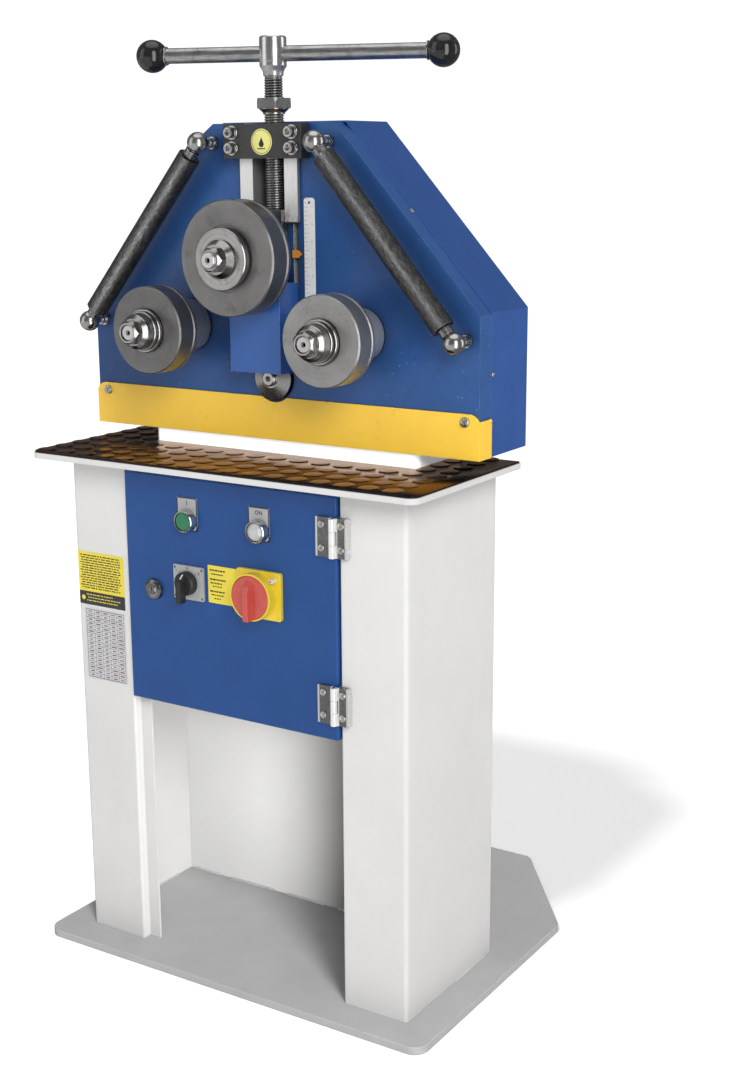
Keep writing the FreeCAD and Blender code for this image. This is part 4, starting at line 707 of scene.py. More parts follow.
b = Build()
for sg in (-1, 1):
    low_, top_ = Vector((268.1 * sg, -158.5, 817.8)), Vector((83.6 * sg, -158.5, 1037.4))
    d_ = (top_ - low_).normalized()
    for at_, dd in ((low_, d_), (top_, -d_)):
        prof = [(5.02, 11.2), (8.4, 11.2)]
        for k in range(4):
            h0 = 11.6 + k * 2.2
            prof += [(8.8, h0), (8.8, h0 + 1.2), (7.9, h0 + 1.5), (7.9, h0 + 1.9)]
        prof += [(7.6, 20.4), (5.02, 20.4)]
        b.lathe(prof, axis_frame(tuple(at_), dd), 64, closed=True)
b.obj("guide_necks", metal("guide_neck_steel", 0.45, 0.26, 0.1, (1, 1, 1), 0.01, bev=0.2, edge_gain=0.6), "chrome_plate",
      "root", 35)

# gibs: milled bright, some stains low on the right one
g = Mat("gib_milled")
fine = g.noise(700.0, 3, 0.6, g.stretch(1, 1, 0.12))
c = g.mix(g.rng(fine, 0.3, 0.7), (0.80, 0.80, 0.79), (0.90, 0.90, 0.89))
st = g.op("MULTIPLY", g.rng(g.noise(140.0, 5, 0.7), 0.48, 0.62), g.rng(g.z, 0.948, 0.968, 1.0, 0.0))
st = g.op("MULTIPLY", st, g.op("GREATER_THAN", g.x, 0.0))
c = g.mix(g.op("MULTIPLY", st, 0.8), c, (0.16, 0.16, 0.14))
# painted shade: side walls of the gibs darkened to grey
ny = g.add("ShaderNodeSeparateXYZ", {0: g.nrm}).outputs[1]
wall = g.op("LESS_THAN", g.op("ABSOLUTE", ny), 0.5)
c = g.mix(wall, c, (0.26, 0.26, 0.26))
# painted shadow: dark line along the gibs' bottom edge
edge_low = g.rng(g.z, 0.9455, 0.9465, 1.0, 0.0)
c = g.mix(edge_low, c, (0.05, 0.05, 0.05))
bv = g.bevel(0.4)
g.set(color=c, metal=0.35, rough=0.38, normal=g.bump(fine, 0.012, 1.0, bv))
dress("slide_gibs", g.m)

g = Mat("scale_face")
c = g.mix(g.rng(g.noise(120.0, 4, 0.6), 0.45, 0.75), (0.93, 0.93, 0.92), (0.85, 0.85, 0.84))
g.set(color=c, rough=g.rng(g.noise(60.0, 3, 0.6), 0.3, 0.7, 0.3, 0.42), normal=g.bump(g.noise(900.0, 2, 0.5), 0.004, 1.0, g.bevel(0.3)))
dress("scale_strip", g.m)

g = Mat("lamp_lens")
c = g.mix(g.rng(g.noise(90.0, 3, 0.6), 0.3, 0.7), (0.60, 0.61, 0.62), (0.82, 0.83, 0.84))
g.set(color=c, rough=0.10, trans=0.35, ior=1.49, coat=0.5, coat_rough=0.04,
      normal=g.bump(g.noise(600.0, 2, 0.5), 0.01))
dress("pilot_lens", g.m)

# ------------------------------------------------------------------ setting screw
b = Build()
SY = -118.0
N, STEP = 72, 0.2
z0, z1, PITCH = 958.0, 1112.0, 3.0


def thread_radius(z, th):
    f = ((z - z0) / PITCH - th / (2 * math.pi)) % 1.0
    if f < 0.12:
        k = 0.0
    elif f < 0.42:
        k = (f - 0.12) / 0.30
    elif f < 0.62:
        k = 1.0
    elif f < 0.92:
        k = 1 - (f - 0.62) / 0.30
    else:
        k = 0.0
    end = min(1.0, max(0.0, (z - z0) / 1.2), 1.0) * min(1.0, max(0.0, (z1 - z) / 1.6))
    slim = min(1.0, max(0.0, (z - 1088.5) / 3.0))
    return 10.35 - 0.55 * slim + (1.62 - 0.32 * slim) * k * end


rings = []
zz = z0
while zz <= z1 + 1e-6:
    rings.append([(thread_radius(zz, 2 * math.pi * i / N) * math.cos(2 * math.pi * i / N),
                   SY + thread_radius(zz, 2 * math.pi * i / N) * math.sin(2 * math.pi * i / N), zz) for i in range(N)])
    zz += STEP


def ring_at(r, z):
    return [(r * math.cos(2 * math.pi * i / N), SY + r * math.sin(2 * math.pi * i / N), z) for i in range(N)]


low = [ring_at(14.7, 938), ring_at(15.3, 938.6), ring_at(15.3, 945.4), ring_at(14.7, 946), ring_at(10.0, 946.2),
       ring_at(10.0, 956.5), ring_at(10.3, 957.4)]
high = [ring_at(10.6, 1112.4), ring_at(11.8, 1113.2), ring_at(12.2, 1117.5), ring_at(13.6, 1120.5), ring_at(15.2, 1122.6),
        ring_at(15.9, 1124.2)]
b.loft(low + rings + high)
g = Mat("spindle_steel")
dy_ = g.op("SUBTRACT", g.y, SY * MM)
rad = g.op("SQRT", g.op("ADD", g.op("MULTIPLY", g.x, g.x), g.op("MULTIPLY", dy_, dy_)))
c = g.mix(g.rng(g.noise(120.0, 4, 0.6), 0.3, 0.7), (0.42, 0.42, 0.41), (0.62, 0.62, 0.61))
# painted shade: thread roots darkened to near black
root_ = g.op("MULTIPLY", g.rng(rad, 0.0102, 0.0114, 1.0, 0.0), g.rng(g.z, 1.110, 1.112, 1.0, 0.0))
c = g.mix(g.op("MULTIPLY", root_, 0.92), c, (0.03, 0.03, 0.03))
spindle_thread = b.obj("spindle_thread", g.set(color=c, metal=0.85, rough=g.rng(g.noise(60.0, 3, 0.6), 0.3, 0.7, 0.22, 0.34),
                                               normal=g.bump(g.noise(1500.0, 2, 0.6), 0.006)), "bright_steel", "spindle", 30,
                       replaces=("spindle",))

# hub: turned barrel with a cross hole for the bar
b = Build()
b.lathe([(11.0, 1123.8), (15.4, 1123.8), (16, 1124.4), (16, 1128.6), (15.75, 1128.9), (15.75, 1129.5), (16, 1129.8),
         (16, 1155.6), (15.6, 1156.8), (14.5, 1157.8), (13.2, 1158), (4.4, 1158), (3.2, 1156.6), (0.5, 1156.2)],
        up(0, SY, 0), 96)
hub = b.obj("spindle_hub", metal("hub_steel", 0.88, 0.20, 0.06, (7, 7, 0.25), 0.02, bev=0.35, edge_gain=0.6,
                                 axis=("z", 0, SY), turned=0.18), "bright_steel", "spindle", 30, replaces=("spindle",))
cutter = Build()
cutter.lathe([(9.06, -30), (9.06, 30)], Matrix.Translation(v(0, SY, 1138)) @ Matrix.Rotation(math.radians(17.8), 4, "Z")
             @ Matrix.Rotation(math.radians(90), 4, "Y"), 64)
cut_me = bpy.data.meshes.new("cut")
bmesh.ops.recalc_face_normals(cutter.bm, faces=cutter.bm.faces)
cutter.bm.to_mesh(cut_me)
cutter.bm.free()
cut_o = bpy.data.objects.new("cut", cut_me)
bpy.context.scene.collection.objects.link(cut_o)
md = hub.modifiers.new("hole", "BOOLEAN")
md.object, md.operation, md.solver = cut_o, "DIFFERENCE", "EXACT"
bpy.context.view_layer.update()
new = bpy.data.meshes.new_from_object(hub.evaluated_get(bpy.context.evaluated_depsgraph_get()))
hub.modifiers.clear()
old = hub.data
hub.data = new
new.name = "spindle_hub"
bpy.data.objects.remove(cut_o)
bpy.data.meshes.remove(cut_me)
bpy.data.meshes.remove(old)
new.polygons.foreach_set("use_smooth", [True] * len(new.polygons))
new.set_sharp_from_angle(angle=math.radians(30))

# handle: thin bright ferrules where the bar enters the balls
b = Build()
DIR = Vector((ca, sa, 0))
for d, sg in ((-151.0, 1), (204.0, -1)):
    at = (d + sg * 17.0) * ca, SY + (d + sg * 17.0) * sa, 1138.0
    m = axis_frame(at, DIR * sg)
    b.lathe([(9.05, 0), (10.3, 0), (10.9, 0.5), (10.9, 1.5), (10.3, 2.1), (9.05, 2.3)], m, 64, closed=True)
b.obj("bar_ferrules", chrome, "chrome_plate", "handle", 40)

# ------------------------------------------------------------------ screws on the head
b = Build()
turns = (12, 41, -8, 25)
for (sx, sz), t in zip(((-43.3, 1048.7), (43.3, 1048.7), (-43.3, 1030.7), (43.3, 1030.7)), turns):
    socket_screw(b, front(sx, -144, sz, t))
b.obj("yoke_screws", metal("cap_screw_chrome", 0.55, 0.2, 0.08, (1, 1, 1), 0.01, bev=0.2, edge_gain=0.6),
      "bright_steel", "root", 35, replaces=("head_screws",))
b = Build()
for sx, t in ((-267, 20), (267, 38)):
    pan_screw(b, front(sx, -129, 725.8, t), 6.0, 4.0)
for sgn, sz, t in ((1, 777.7, 10), (-1, 777.7, 0), (1, 700, 30), (-1, 700, 60)):
    if sz == 777.7:
        pan_screw(b, side(284 * sgn, -96.6, sz, sgn, t), 3.0, 1.6, 1.7)
for sgn, yy in ((1, -103.9), (-1, -103.9)):
    # on the sloping edges of the front plate
    n_ = Vector((201.5 * sgn, 0, 182.2)).normalized()
    px, pz = 181.3 * sgn, 846 + (284 - 181.3) * 201.5 / 182.2
    m = Matrix.Translation(v(px, yy, pz)) @ n_.to_track_quat("Z", "Y").to_matrix().to_4x4()
    pan_screw(b, m, 3.1, 1.5, 1.7)
b.obj("cover_screws", zinc, "bright_steel", "root", 35, replaces=("head_screws",))

# oil point disc on the yoke: yellow disc with a dark rim line and a plain drop
b = Build()
M_ = front(-0.1, -144, 1037.9)
b.lathe([(0.5, 0), (14.7, 0), (15, 0.2), (15, 0.5), (14.7, 0.7), (0.5, 0.7)], M_, 64)
b.obj("oil_disc", plastic("oil_film", (0.80, 0.76, 0.25), 0.32, 0.004, 0.04, 0.2, edge=(0.9, 0.88, 0.55)), "yellow_plastic", "root", 40)
b = Build()
b.lathe([(13.1, 0.6), (13.6, 0.6), (13.6, 0.78), (13.1, 0.78)], M_, 64, closed=True)
drop = []
for i in range(40):
    a = 2 * math.pi * i / 40
    r = 3.6
    x, y = r * math.cos(a), r * math.sin(a)
    if y > 0:
        x *= (1 - y / r) ** 0.9 + 0.04
        y *= 2.3
    drop.append((x, y - 2.6))
b.slab(drop, 0.6, 0.8, M_)
b.slab([(-5.6, -7.2), (5.6, -7.2), (5.6, -8.4), (-5.6, -8.4)][::-1], 0.6, 0.8, M_)
b.obj("oil_mark", ink, "black_plastic", "root", 40)

# ------------------------------------------------------------------ rubber mat with round studs
TOP, SHEET = 665.0, 664.15


def mat_outline():
    pts = []
    for cx, cy, a0 in ((-280.4 + 12, -263.9 + 12, 180), (280.4 - 12, -263.9 + 12, 270)):
        for i in range(9):
            a = math.radians(a0 + 90 * i / 8)
            pts.append((cx + 12 * math.cos(a), cy + 12 * math.sin(a)))
    return pts + [(280.4, -18), (198.5, -18), (198.5, -122.5), (-198.5, -122.5), (-198.5, -18), (-280.4, -18)]


b = Build()
b.slab(mat_outline(), 662.05, SHEET, None, 0.25)
R_ = 12.4
for j in range(8):
    cy = -246.3 + 31.6 * j
    for i in range(-9, 10):
        cx = -13.4 + 32.0 * i
        if cx - 8 < -280.4 or cx + 8 > 280.4 or cy > -24:
            continue
        if cy > -122.5 - 4 and abs(cx) < 198.5 + 3:
            continue
        rings = []
        for r, z in ((R_, SHEET - 0.1), (R_ - 0.25, SHEET + 0.22), (R_ - 0.7, SHEET + 0.50), (R_ - 1.6, SHEET + 0.72),
                     (R_ - 3.2, TOP - 0.04), (R_ - 6.0, TOP), (2.0, TOP)):
            ring = []
            for k in range(48):
                a = 2 * math.pi * k / 48
                x, y = cx + r * math.cos(a), cy + r * math.sin(a)
                x = min(280.2, max(-280.2, x))
                y = max(-263.8, y)
                if cy < -122.5 and abs(cx) < 200:
                    y = min(-124.2, y)
                elif abs(cx) > 198.5 and cy > -122.5:
                    x = max(198.7, x) if cx > 0 else min(-198.7, x)
                ring.append((x, y, z))
            rings.append(ring)
        b.loft(rings, None, cap0=False)
g = Mat("mat_rubber")
c = g.mix(g.rng(g.noise(26.0, 4, 0.6), 0.3, 0.7), (0.012, 0.012, 0.013), (0.026, 0.026, 0.027))
c = g.mix(g.rng(g.noise(160.0, 5, 0.7), 0.5, 0.72, 0.0, 0.35), c, (0.05, 0.048, 0.045))
# painted reflection: the orange specular tint on part-metallic rubber stands in for the warm reflection of the yellow
# guard
g.set(color=c, rough=g.rng(g.noise(70.0, 4, 0.65), 0.3, 0.75, 0.15, 0.25), spec=0.5, metal=0.6, tint=(1.0, 0.60, 0.36),
      normal=g.bump(g.noise(1100.0, 3, 0.6), 0.012, 1.0, g.bump(g.noise(60.0, 2, 0.5), 0.10)))
b.obj("stud_mat", g.m, "mat_rubber", "root", 50, replaces=("tread_mat",))

# ------------------------------------------------------------------ hinge screws
for name, cols, body in (("column_hinge_screws", (165.4,), "root"), ("door_hinge_screws", (138.4,), "door")):
    b = Build()
    k = 0
    for z0_ in (372.5, 574.5):
        for dz in (10.2, 38.1):
            for cx in cols:
                pan_screw(b, front(cx, -234.0, z0_ + dz, 17 + 23 * k), 4.3, 2.3, 2.5)
                k += 1
    b.obj(name, zinc, "chrome_plate", body, 35)

# ------------------------------------------------------------------ switch gear on the door
# start and lamp legends: dark outline and generic words
for lab, cx, word in (("start", -59.75, "I"), ("lamp", 47.75, "ON")):
    b = Build()
    o_ = rr(-15.25, 15.25, -13, 28.5, 2.2)
    i_ = inset(o_, 1.3)
    rings = [[(x, y, 0.9) for x, y in o_], [(x, y, 1.12) for x, y in o_], [(x, y, 1.12) for x, y in i_], [(x, y, 0.9) for x, y in i_]]
    b.loft(rings, front(cx, -230, 593), closed=True)
    b.obj(lab + "_legend_line", ink, "black_plastic", "door", 40)
    text(lab + "_legend_text", word, 7.0, front(cx, -231.05, 614.5), ink, "door", bold=0.12)

# selector: marks round the knob, white pointer line on the grip
b = Build()
for a_ in (-45, 45):
    m = front(-60.5, -233, 515.2) @ Matrix.Rotation(math.radians(-a_), 4, "Z")
    b.slab([(-0.5, 15.8), (0.5, 15.8), (0.5, 18.2), (-0.5, 18.2)], -0.05, 0.12, m)
b.obj("selector_marks", ink, "black_plastic", "door", 40)
for lab, tx, tz in (("1", -17.5, 13.6), ("0", 0, 18.2), ("2", 17.5, 13.6)):
    text("selector_mark_" + lab, lab, 4.8, front(-60.5 + tx, -233.05, 515.2 + tz), ink, "door", bold=0.08)
b = Build()
k_ = math.hypot(10.6, 9.4)
m = Matrix(((1, 0, 0, -60.5 * MM), (0, 10.6 / k_, -9.4 / k_, -247.3 * MM), (0, 9.4 / k_, 10.6 / k_, 524.5 * MM), (0, 0, 0, 1)))
b.slab([(-0.2, -1.8), (1.9, -1.8), (1.9, 5.2), (-0.2, 5.2)], -0.1, 0.12, m)
b.obj("selector_line", label_white, "scale_face", "selector", 40)
b = Build()
for sx, sz in ((-19.6, -18), (21.8, -18), (21.8, 18), (-19.6, 18)):
    b.lathe([(0.4, -0.2), (1.5, -0.2), (1.5, 0.25), (1.1, 0.45), (0.4, 0.45)], front(-60.5 + sx, -233, 515.2 + sz), 24)
b.obj("selector_rivets", dark_pl, "black_plastic", "door", 40)

# main switch: indicator window on a raised block, corner screws
b = Build()
for sx, sz in ((-26.8, -25.5), (30.4, -25.5), (30.4, 26), (-26.8, 26)):
    pan_screw(b, front(46.1 + sx, -234.4, 515.6 + sz, 30), 1.9, 0.7, 1.0)
b.obj("main_plate_screws", yellow_pl, "yellow_plastic", "door", 35)
b = Build()
b.slab(rr(-2.8, 2.8, -2.2, 2.2, 0.6, 3), 0, 8.5, front(46.1 + 25.2, -234.4, 515.6 + 21.2), 0.2)
b.obj("main_indicator_frame", label_white, "scale_face", "door", 40)
b = Build()
b.slab(rr(-1.5, 1.5, -1.1, 1.1, 0.3, 3), 8.3, 8.7, front(46.1 + 25.2, -234.4, 515.6 + 21.2), 0.06)
b.obj("main_indicator_flag", red_pl, "red_plastic", "door", 40)

# yellow note beside the main switch: plain ruled bars
b = Build()
b.slab(rr(-31, 13, 494.5, 541.5, 1.2, 3), 0, 0.35, front(0, -230, 0), 0.08)
b.obj("door_note", label_yellow, "yellow_plastic", "door", 40)
b = Build()
rows = ((-28, -5, 535.6, 1.9), (-26, -7, 530.8, 1.5), (-28, -4, 524.2, 1.9), (-27, -9, 519.6, 1.5), (-24, -10, 515.6, 1.2),
        (-28, -6, 509.2, 1.8), (-26, -8, 504.8, 1.4), (-22, -12, 500.4, 1.3))
for x0_, x1_, zc, hh in rows:
    x = x0_
    while x < x1_:
        w = rng.uniform(2.2, 5.0)
        xe = min(x + w, x1_)
        if xe - x > 0.8:
            b.slab([(x, zc - hh / 2), (xe, zc - hh / 2), (xe, zc + hh / 2), (x, zc + hh / 2)], 0.3, 0.46, front(0, -230, 0))
        x = xe + 0.9
b.obj("door_note_lines", ink, "black_plastic", "door", 40)

# left column: yellow and black sheet with ruled lines, and a small chart below it
b = Build()
b.slab(rr(-245.2, -169.0, 479.2, 531.6, 1.5, 3), 0, 0.4, front(0, -226, 0), 0.1)
b.obj("column_sheet_yellow", label_yellow, "yellow_plastic", "root", 40)
b = Build()
b.slab(rr(-245.2, -169.0, 461.6, 479.2, 1.5, 3), 0, 0.4, front(0, -226, 0), 0.1)
b.obj("column_sheet_black", label_black, "black_plastic", "root", 40)
b = Build()
z = 527.0
row = 0
while z > 482.5:
    x = -242.0 + (2.0 if row % 3 else 0.0)
    end = -173.0 - rng.uniform(0, 16) * (1 if row % 3 == 2 else 0.4)
    while x < end:
        w = rng.uniform(2.0, 8.5)
        xe = min(x + w, end)
        if xe - x > 1.0:
            b.slab([(x, z - 0.75), (xe, z - 0.75), (xe, z + 0.75), (x, z + 0.75)], 0.35, 0.48, front(0, -226, 0))
        x = xe + rng.uniform(0.9, 1.6)
    z -= 3.3
    row += 1
b.obj("column_sheet_lines", ink, "black_plastic", "root", 40)
b = Build()
b.lathe([(0.3, 0.35), (3.1, 0.35), (3.1, 0.5), (0.3, 0.5)], front(-238.5, -226, 470.4), 32)
for k, (x0_, x1_) in enumerate(((-233, -189), (-231, -176), (-233, -181))):
    x = x0_
    while x < x1_:
        w = rng.uniform(2.0, 7.0)
        xe = min(x + w, x1_)
        if xe - x > 1:
            b.slab([(x, 474.6 - 4.0 * k), (xe, 474.6 - 4.0 * k), (xe, 475.8 - 4.0 * k), (x, 475.8 - 4.0 * k)], 0.35, 0.5,
                   front(0, -226, 0))
        x = xe + 1.2
b.obj("column_sheet_marks", label_yellow, "yellow_plastic", "root", 40)

b = Build()
b.slab(rr(-237.2, -170.6, 362.0, 457.4, 0.6, 2), 0, 0.35, front(0, -226, 0), 0.08)
b.obj("column_chart", chart_film, "scale_face", "root", 40)
b = Build()
cols = [-235.4, -222.0, -209.5, -196.5, -184.0, -172.4]
top, bot = 455.2, 364.2
nr = 17
for k in range(nr + 1):
    z = top - (top - bot) * k / nr
    w = 0.32 if k not in (0, 2, nr) else 0.55
    b.slab([(cols[0], z - w), (cols[-1], z - w), (cols[-1], z + w), (cols[0], z + w)], 0.3, 0.42, front(0, -226, 0))
for x in cols:
    b.slab([(x - 0.3, bot), (x + 0.3, bot), (x + 0.3, top), (x - 0.3, top)], 0.3, 0.42, front(0, -226, 0))
b.obj("column_chart_grid", ink_grey, "grey_plastic", "root", 40)
for nm, mt, pick in (("column_chart_red", ink_red, 1), ("column_chart_dark", ink_grey, 0)):
    b = Build()
    r2 = random.Random(11 + pick)
    for k in range(nr):
        z = top - (top - bot) * (k + 0.5) / nr
        for j in range(5):
            if (k // 2 + j) % 3 != 0 and pick or (k // 2 + j) % 3 == 0 and not pick:
                xc = (cols[j] + cols[j + 1]) / 2
                wdt = r2.uniform(2.2, 4.4)
                b.slab([(xc - wdt, z - 0.8), (xc + wdt, z - 0.8), (xc + wdt, z + 0.8), (xc - wdt, z + 0.8)], 0.3, 0.44,
                       front(0, -226, 0))
    b.obj(nm, mt, "red_plastic" if pick else "grey_plastic", "root", 40)

# ------------------------------------------------------------------ scale
b = Build()
for k in range(27):
    z = 843 + k * 5
    ln = 6.0 if k % 2 == 0 else 3.6
    b.slab([(47.9, z - 0.22), (47.9 + ln, z - 0.22), (47.9 + ln, z + 0.22), (47.9, z + 0.22)], 0.75, 0.9, front(0, -127, 0))
b.obj("scale_ticks", ink_faint, "grey_plastic", "root", 40)
for k in range(7):
    text("scale_number_%d" % (k * 2), str(k * 2), 3.6, front(58.5, -127.85, 843 + k * 20), ink_faint, "root",
         thick=0.06)
b = Build()
for sz in (842.0, 968.5):
    b.lathe([(0.3, 0.7), (1.7, 0.7), (1.7, 0.95), (1.2, 1.25), (0.3, 1.25)], front(54.9, -127, sz), 32)
b.obj("scale_rivets", bright_yscr, "bright_steel", "root", 40)

# ------------------------------------------------------------------ weld beads on the stand
def bead(b, p0, p1, r, seed, normal=(0, 0, 1)):
    r3 = random.Random(seed)
    a, c_ = Vector(p0), Vector(p1)
    d = c_ - a
    n_ = max(4, int(d.length / (r * 0.62)))
    nv = Vector(normal)
    uu = d.normalized()
    ww = uu.cross(nv).normalized()
    rings_ = []
    for i in range(n_ * 4 + 1):
        t = i / (n_ * 4)
        k = 0.55 + 0.30 * abs(math.sin(math.pi * i / 4 + 0.4)) + r3.uniform(-0.12, 0.12)
        if i in (0, n_ * 4):
            k = 0.25
        c0 = a + d * t
        ring = []
        for j in range(12):
            an = 2 * math.pi * j / 12
            p = c0 + nv * (math.sin(an) * r * k * 0.8) + ww * (math.cos(an) * r * k)
            ring.append(tuple(p))
        rings_.append(ring)
    b.loft(rings_)


b = Build()
seg = [(-236, -190), (-170, -96), (-70, -10), (14, 92), (120, 176), (200, 238)]
for k, (x0_, x1_) in enumerate(seg):
    bead(b, (x0_, -20.3, 10.4), (x1_, -20.3, 10.4), 3.0, 100 + k)
for sg in (-1, 1):
    bead(b, (sg * 244.6, -205, 10.3), (sg * 244.6, -150, 10.3), 2.6, 7 + sg)
    bead(b, (sg * 244.6, -100, 10.3), (sg * 244.6, -50, 10.3), 2.6, 9 + sg)
    bead(b, (sg * 168, -222.6, 10.3), (sg * 200, -222.6, 10.3), 2.4, 19 + sg)
    xw = 161.4 if sg > 0 else -163.4
    bead(b, (xw, -219, 10.3), (xw, -213, 10.3), 2.4, 29 + sg)
    bead(b, (sg * 247.9, -110, 10.2), (sg * 247.9, -30, 10.2), 2.2, 39 + sg)
bead(b, (-120, -16.6, 10.3), (-60, -16.6, 10.3), 2.6, 60)
bead(b, (60, -16.6, 10.3), (120, -16.6, 10.3), 2.6, 61)
b.obj("stand_welds", paint("weld_paint", (0.50, 0.497, 0.49), 0.5, 0.05, 0.14, (0.6, 0.6, 0.59), 0.4, 0.5, 0.0, dirt=0.5, spec=0.3),
      "white_paint", "root", 50)

# fixing bolts of the gearbox
b = Build()
for x in (-238, 238):
    for y in (-236,):
        pass
for sx in (-48, 48):
    for sz in (714, 808):
        hex_bolt(b, back(sx, -4, sz, 12), 10, 6, 9.5)
for a_ in range(6):
    an = math.radians(30 + 60 * a_)
    hex_bolt(b, back(41 * math.cos(an), 98, 758.585 + 41 * math.sin(an), 15 * a_), 7, 4, None)
b.obj("gearbox_bolts", zinc, "bright_steel", "root", 35)

# gearbox end cover and oil plugs
b = Build()
GM = back(0, 98, 758.585)
b.lathe([(14, -0.2), (35, -0.2), (35, 1.6), (34, 2.2), (24, 2.2), (23, 3.4), (14, 3.4)], GM, 96, closed=True)
b.obj("gearbox_end_cover", cast, "cast_housing", "root", 35)
b = Build()
hex_bolt(b, up(-20, 66, 843.6), 12, 6, 9)
hex_bolt(b, Matrix.Translation(v(0, 50, 708.8)) @ Matrix.Rotation(math.pi, 4, "X"), 12, 5, 9)
b.obj("gearbox_plugs", bronze, "bronze", "root", 35)


# ------------------------------------------------------------------ motor
def xr(r, x, n=144, fins=0, depth=0.0):
    out = []
    for i in range(n):
        a = 2 * math.pi * i / n
        k = r
        if fins:
            f = (i * fins / n) % 1.0
            flat = abs(((math.degrees(a) + 45) % 90) - 45) < 0
            k = r if f < 0.34 and not flat else r - depth
        out.append((x, 66 + k * math.cos(a), 812 + k * math.sin(a)))
    return out


b = Build()
b.loft([xr(20, -250), xr(46, -250), xr(48, -248), xr(48, -243), xr(49.5, -241), xr(55, -240.5, 144, 36, 5.5),
        xr(55, -92, 144, 36, 5.5), xr(49.5, -91), xr(49.5, -88.5), xr(55, -88), xr(56, -87), xr(56, -84), xr(61, -83.5),
        xr(62, -82.5), xr(62, -71), xr(61, -70), xr(20, -70)])
b.obj("motor_frame", motor_grey, "motor_paint", "root", 32, replaces=("motor",))

# fan cover: pressed cup with rows of slots in its end
b = Build()
b.loft([xr(54.6, -246), xr(56, -246), xr(56, -285.2), xr(55.4, -287.6), xr(53.6, -289.8), xr(50, -291.4), xr(44, -292),
        xr(43.4, -291.4), xr(43.4, -290.6), xr(44, -290.4), xr(49.6, -289.9), xr(52.6, -288.4), xr(54.2, -285.6)],
       closed=True)
for ri, ro in ((36.6, 40.4), (29.6, 33.4), (22.6, 26.4), (15.6, 19.4)):
    b.loft([xr(ro, -292, 96), xr(ri, -292, 96), xr(ri, -290.6, 96), xr(ro, -290.6, 96)], closed=True)
b.loft([xr(12.4, -292, 96), xr(11.8, -292, 96), xr(2, -292, 96), xr(2, -290.6, 96), xr(12.4, -290.6, 96)], closed=False)
for k in range(8):
    a = math.radians(22.5 + 45 * k)
    m = Matrix.Translation(v(-291.2, 66, 812)) @ Matrix.Rotation(a, 4, "X")
    b.slab([(-0.6, 8), (0.6, 8), (0.6, 47), (-0.6, 47)], -1.6, 1.6, m)
b.obj("motor_fan_cover", motor_grey, "motor_paint", "root", 35, replaces=("motor",))
b = Build()
for k in range(7):
    a = 2 * math.pi * k / 7
    m = Matrix.Translation(v(-268, 66, 812)) @ Matrix.Rotation(a, 4, "X")
    b.slab([(-12, 14), (12, 14), (12, 46), (-12, 46)], -0.9, 0.9, m, 0.3)
b.loft([xr(6, -284, 64), xr(15, -284, 64), xr(15.5, -283, 64), xr(15.5, -254, 64), xr(6, -254, 64)])
b.obj("motor_fan", black_pl, "black_plastic", "root", 35, replaces=("motor",))

# terminal box: base, gasket line, lid with four screws
b = Build()
TB = up(0, 0, 0)
b.slab(rr(-188, -112, 34, 98, 5), 852, 872, TB, 0.6)
b.slab(rr(-190, -110, 32, 100, 6), 872, 886, TB, 0.6)
b.obj("terminal_box_base", motor_grey, "motor_paint", "root", 35, replaces=("motor",))
b = Build()
b.slab(rr(-188.6, -111.4, 33.4, 98.6, 5), 885.8, 887.2, TB, 0.1)
b.obj("terminal_box_gasket", black_pl, "black_plastic", "root", 35, replaces=("motor",))
b = Build()
rings = [[(x, y, z) for x, y in rr(-190 + k, -110 - k, 32 + k, 100 - k, max(1.5, 6 - k))]
         for k, z in ((0, 887), (0, 892.5), (0.9, 894.6), (3.0, 896.4), (8.0, 897.6), (14.0, 898.0))]
b.loft(rings, TB)
b.obj("terminal_box_lid", motor_grey, "motor_paint", "root", 30, replaces=("motor",))
b = Build()
for sx in (-184, -116):
    for sy in (38, 94):
        pan_screw(b, up(sx, sy, 894.8, 25), 2.9, 2.2, 1.6)
for sy, q_ in ((1, 0),):
    for sx in (-168, -132):
        m = back(sx, 99.8, 878)
for sx in (-84, -76):
    pass
b.obj("terminal_box_screws", zinc, "bright_steel", "root", 35)

# ------------------------------------------------------------------ inside of the switch box
b = Build()
yf = -158.5  # contactor front
b.brick(-68, -27, 512, 583, 0, 3.0, front(0, -158.4, 0), 0.8, 2)
b.brick(-62, -33, 528, 567, 3.0, 8.0, front(0, -158.4, 0), 1.0, 2)
b.obj("contactor_face", dark_pl, "black_plastic", "root", 35)
b = Build()
for k in range(4):
    for zc in (516.5, 578.5):
        pan_screw(b, front(-63 + k * 10.4, -161.0, zc, 40 * k), 3.2, 1.4, 1.8)
for k in range(3):
    pan_screw(b, front(8 + k * 14.5, -149.0, 516, 33 * k), 3.2, 1.6, 1.8)
b.obj("contactor_screws", zinc, "bright_steel", "root", 35)
b = Build()
b.brick(2, 43, 513, 582, 0, 2.4, front(0, -146.4, 0), 0.8, 2)
b.obj("overload_face", black_pl, "black_plastic", "root", 35)
b = Build()
b.lathe([(0.5, 0), (7.5, 0), (7.5, 2.5), (6.8, 3.4), (0.5, 3.4)], front(22.5, -148.6, 552), 48)
b.slab([(-0.8, -6), (0.8, -6), (0.8, 6), (-0.8, 6)], 3.3, 4.2, front(22.5, -148.6, 552, 35))
b.brick(6, 14, 566, 572, 2.2, 4.4, front(0, -146.4, 0), 0.3, 0.8)
b.obj("overload_dial", red_pl, "red_plastic", "root", 35)
b = Build()
b.brick(-57, -38, 540, 555, 7.8, 9.4, front(0, -158.4, 0), 0.4, 1)
b.obj("contactor_plunger", light_pl, "grey_plastic", "root", 35)
# slotted top-hat rail lips
b = Build()
for z in (530.0, 562.0):
    b.slab([(-110, z), (110, z), (110, z + 3), (-110, z + 3)], 0, 1.2, front(0, -83.9, 0), 0.3)
b.obj("rail_lips", zinc, "bright_steel", "root", 35)

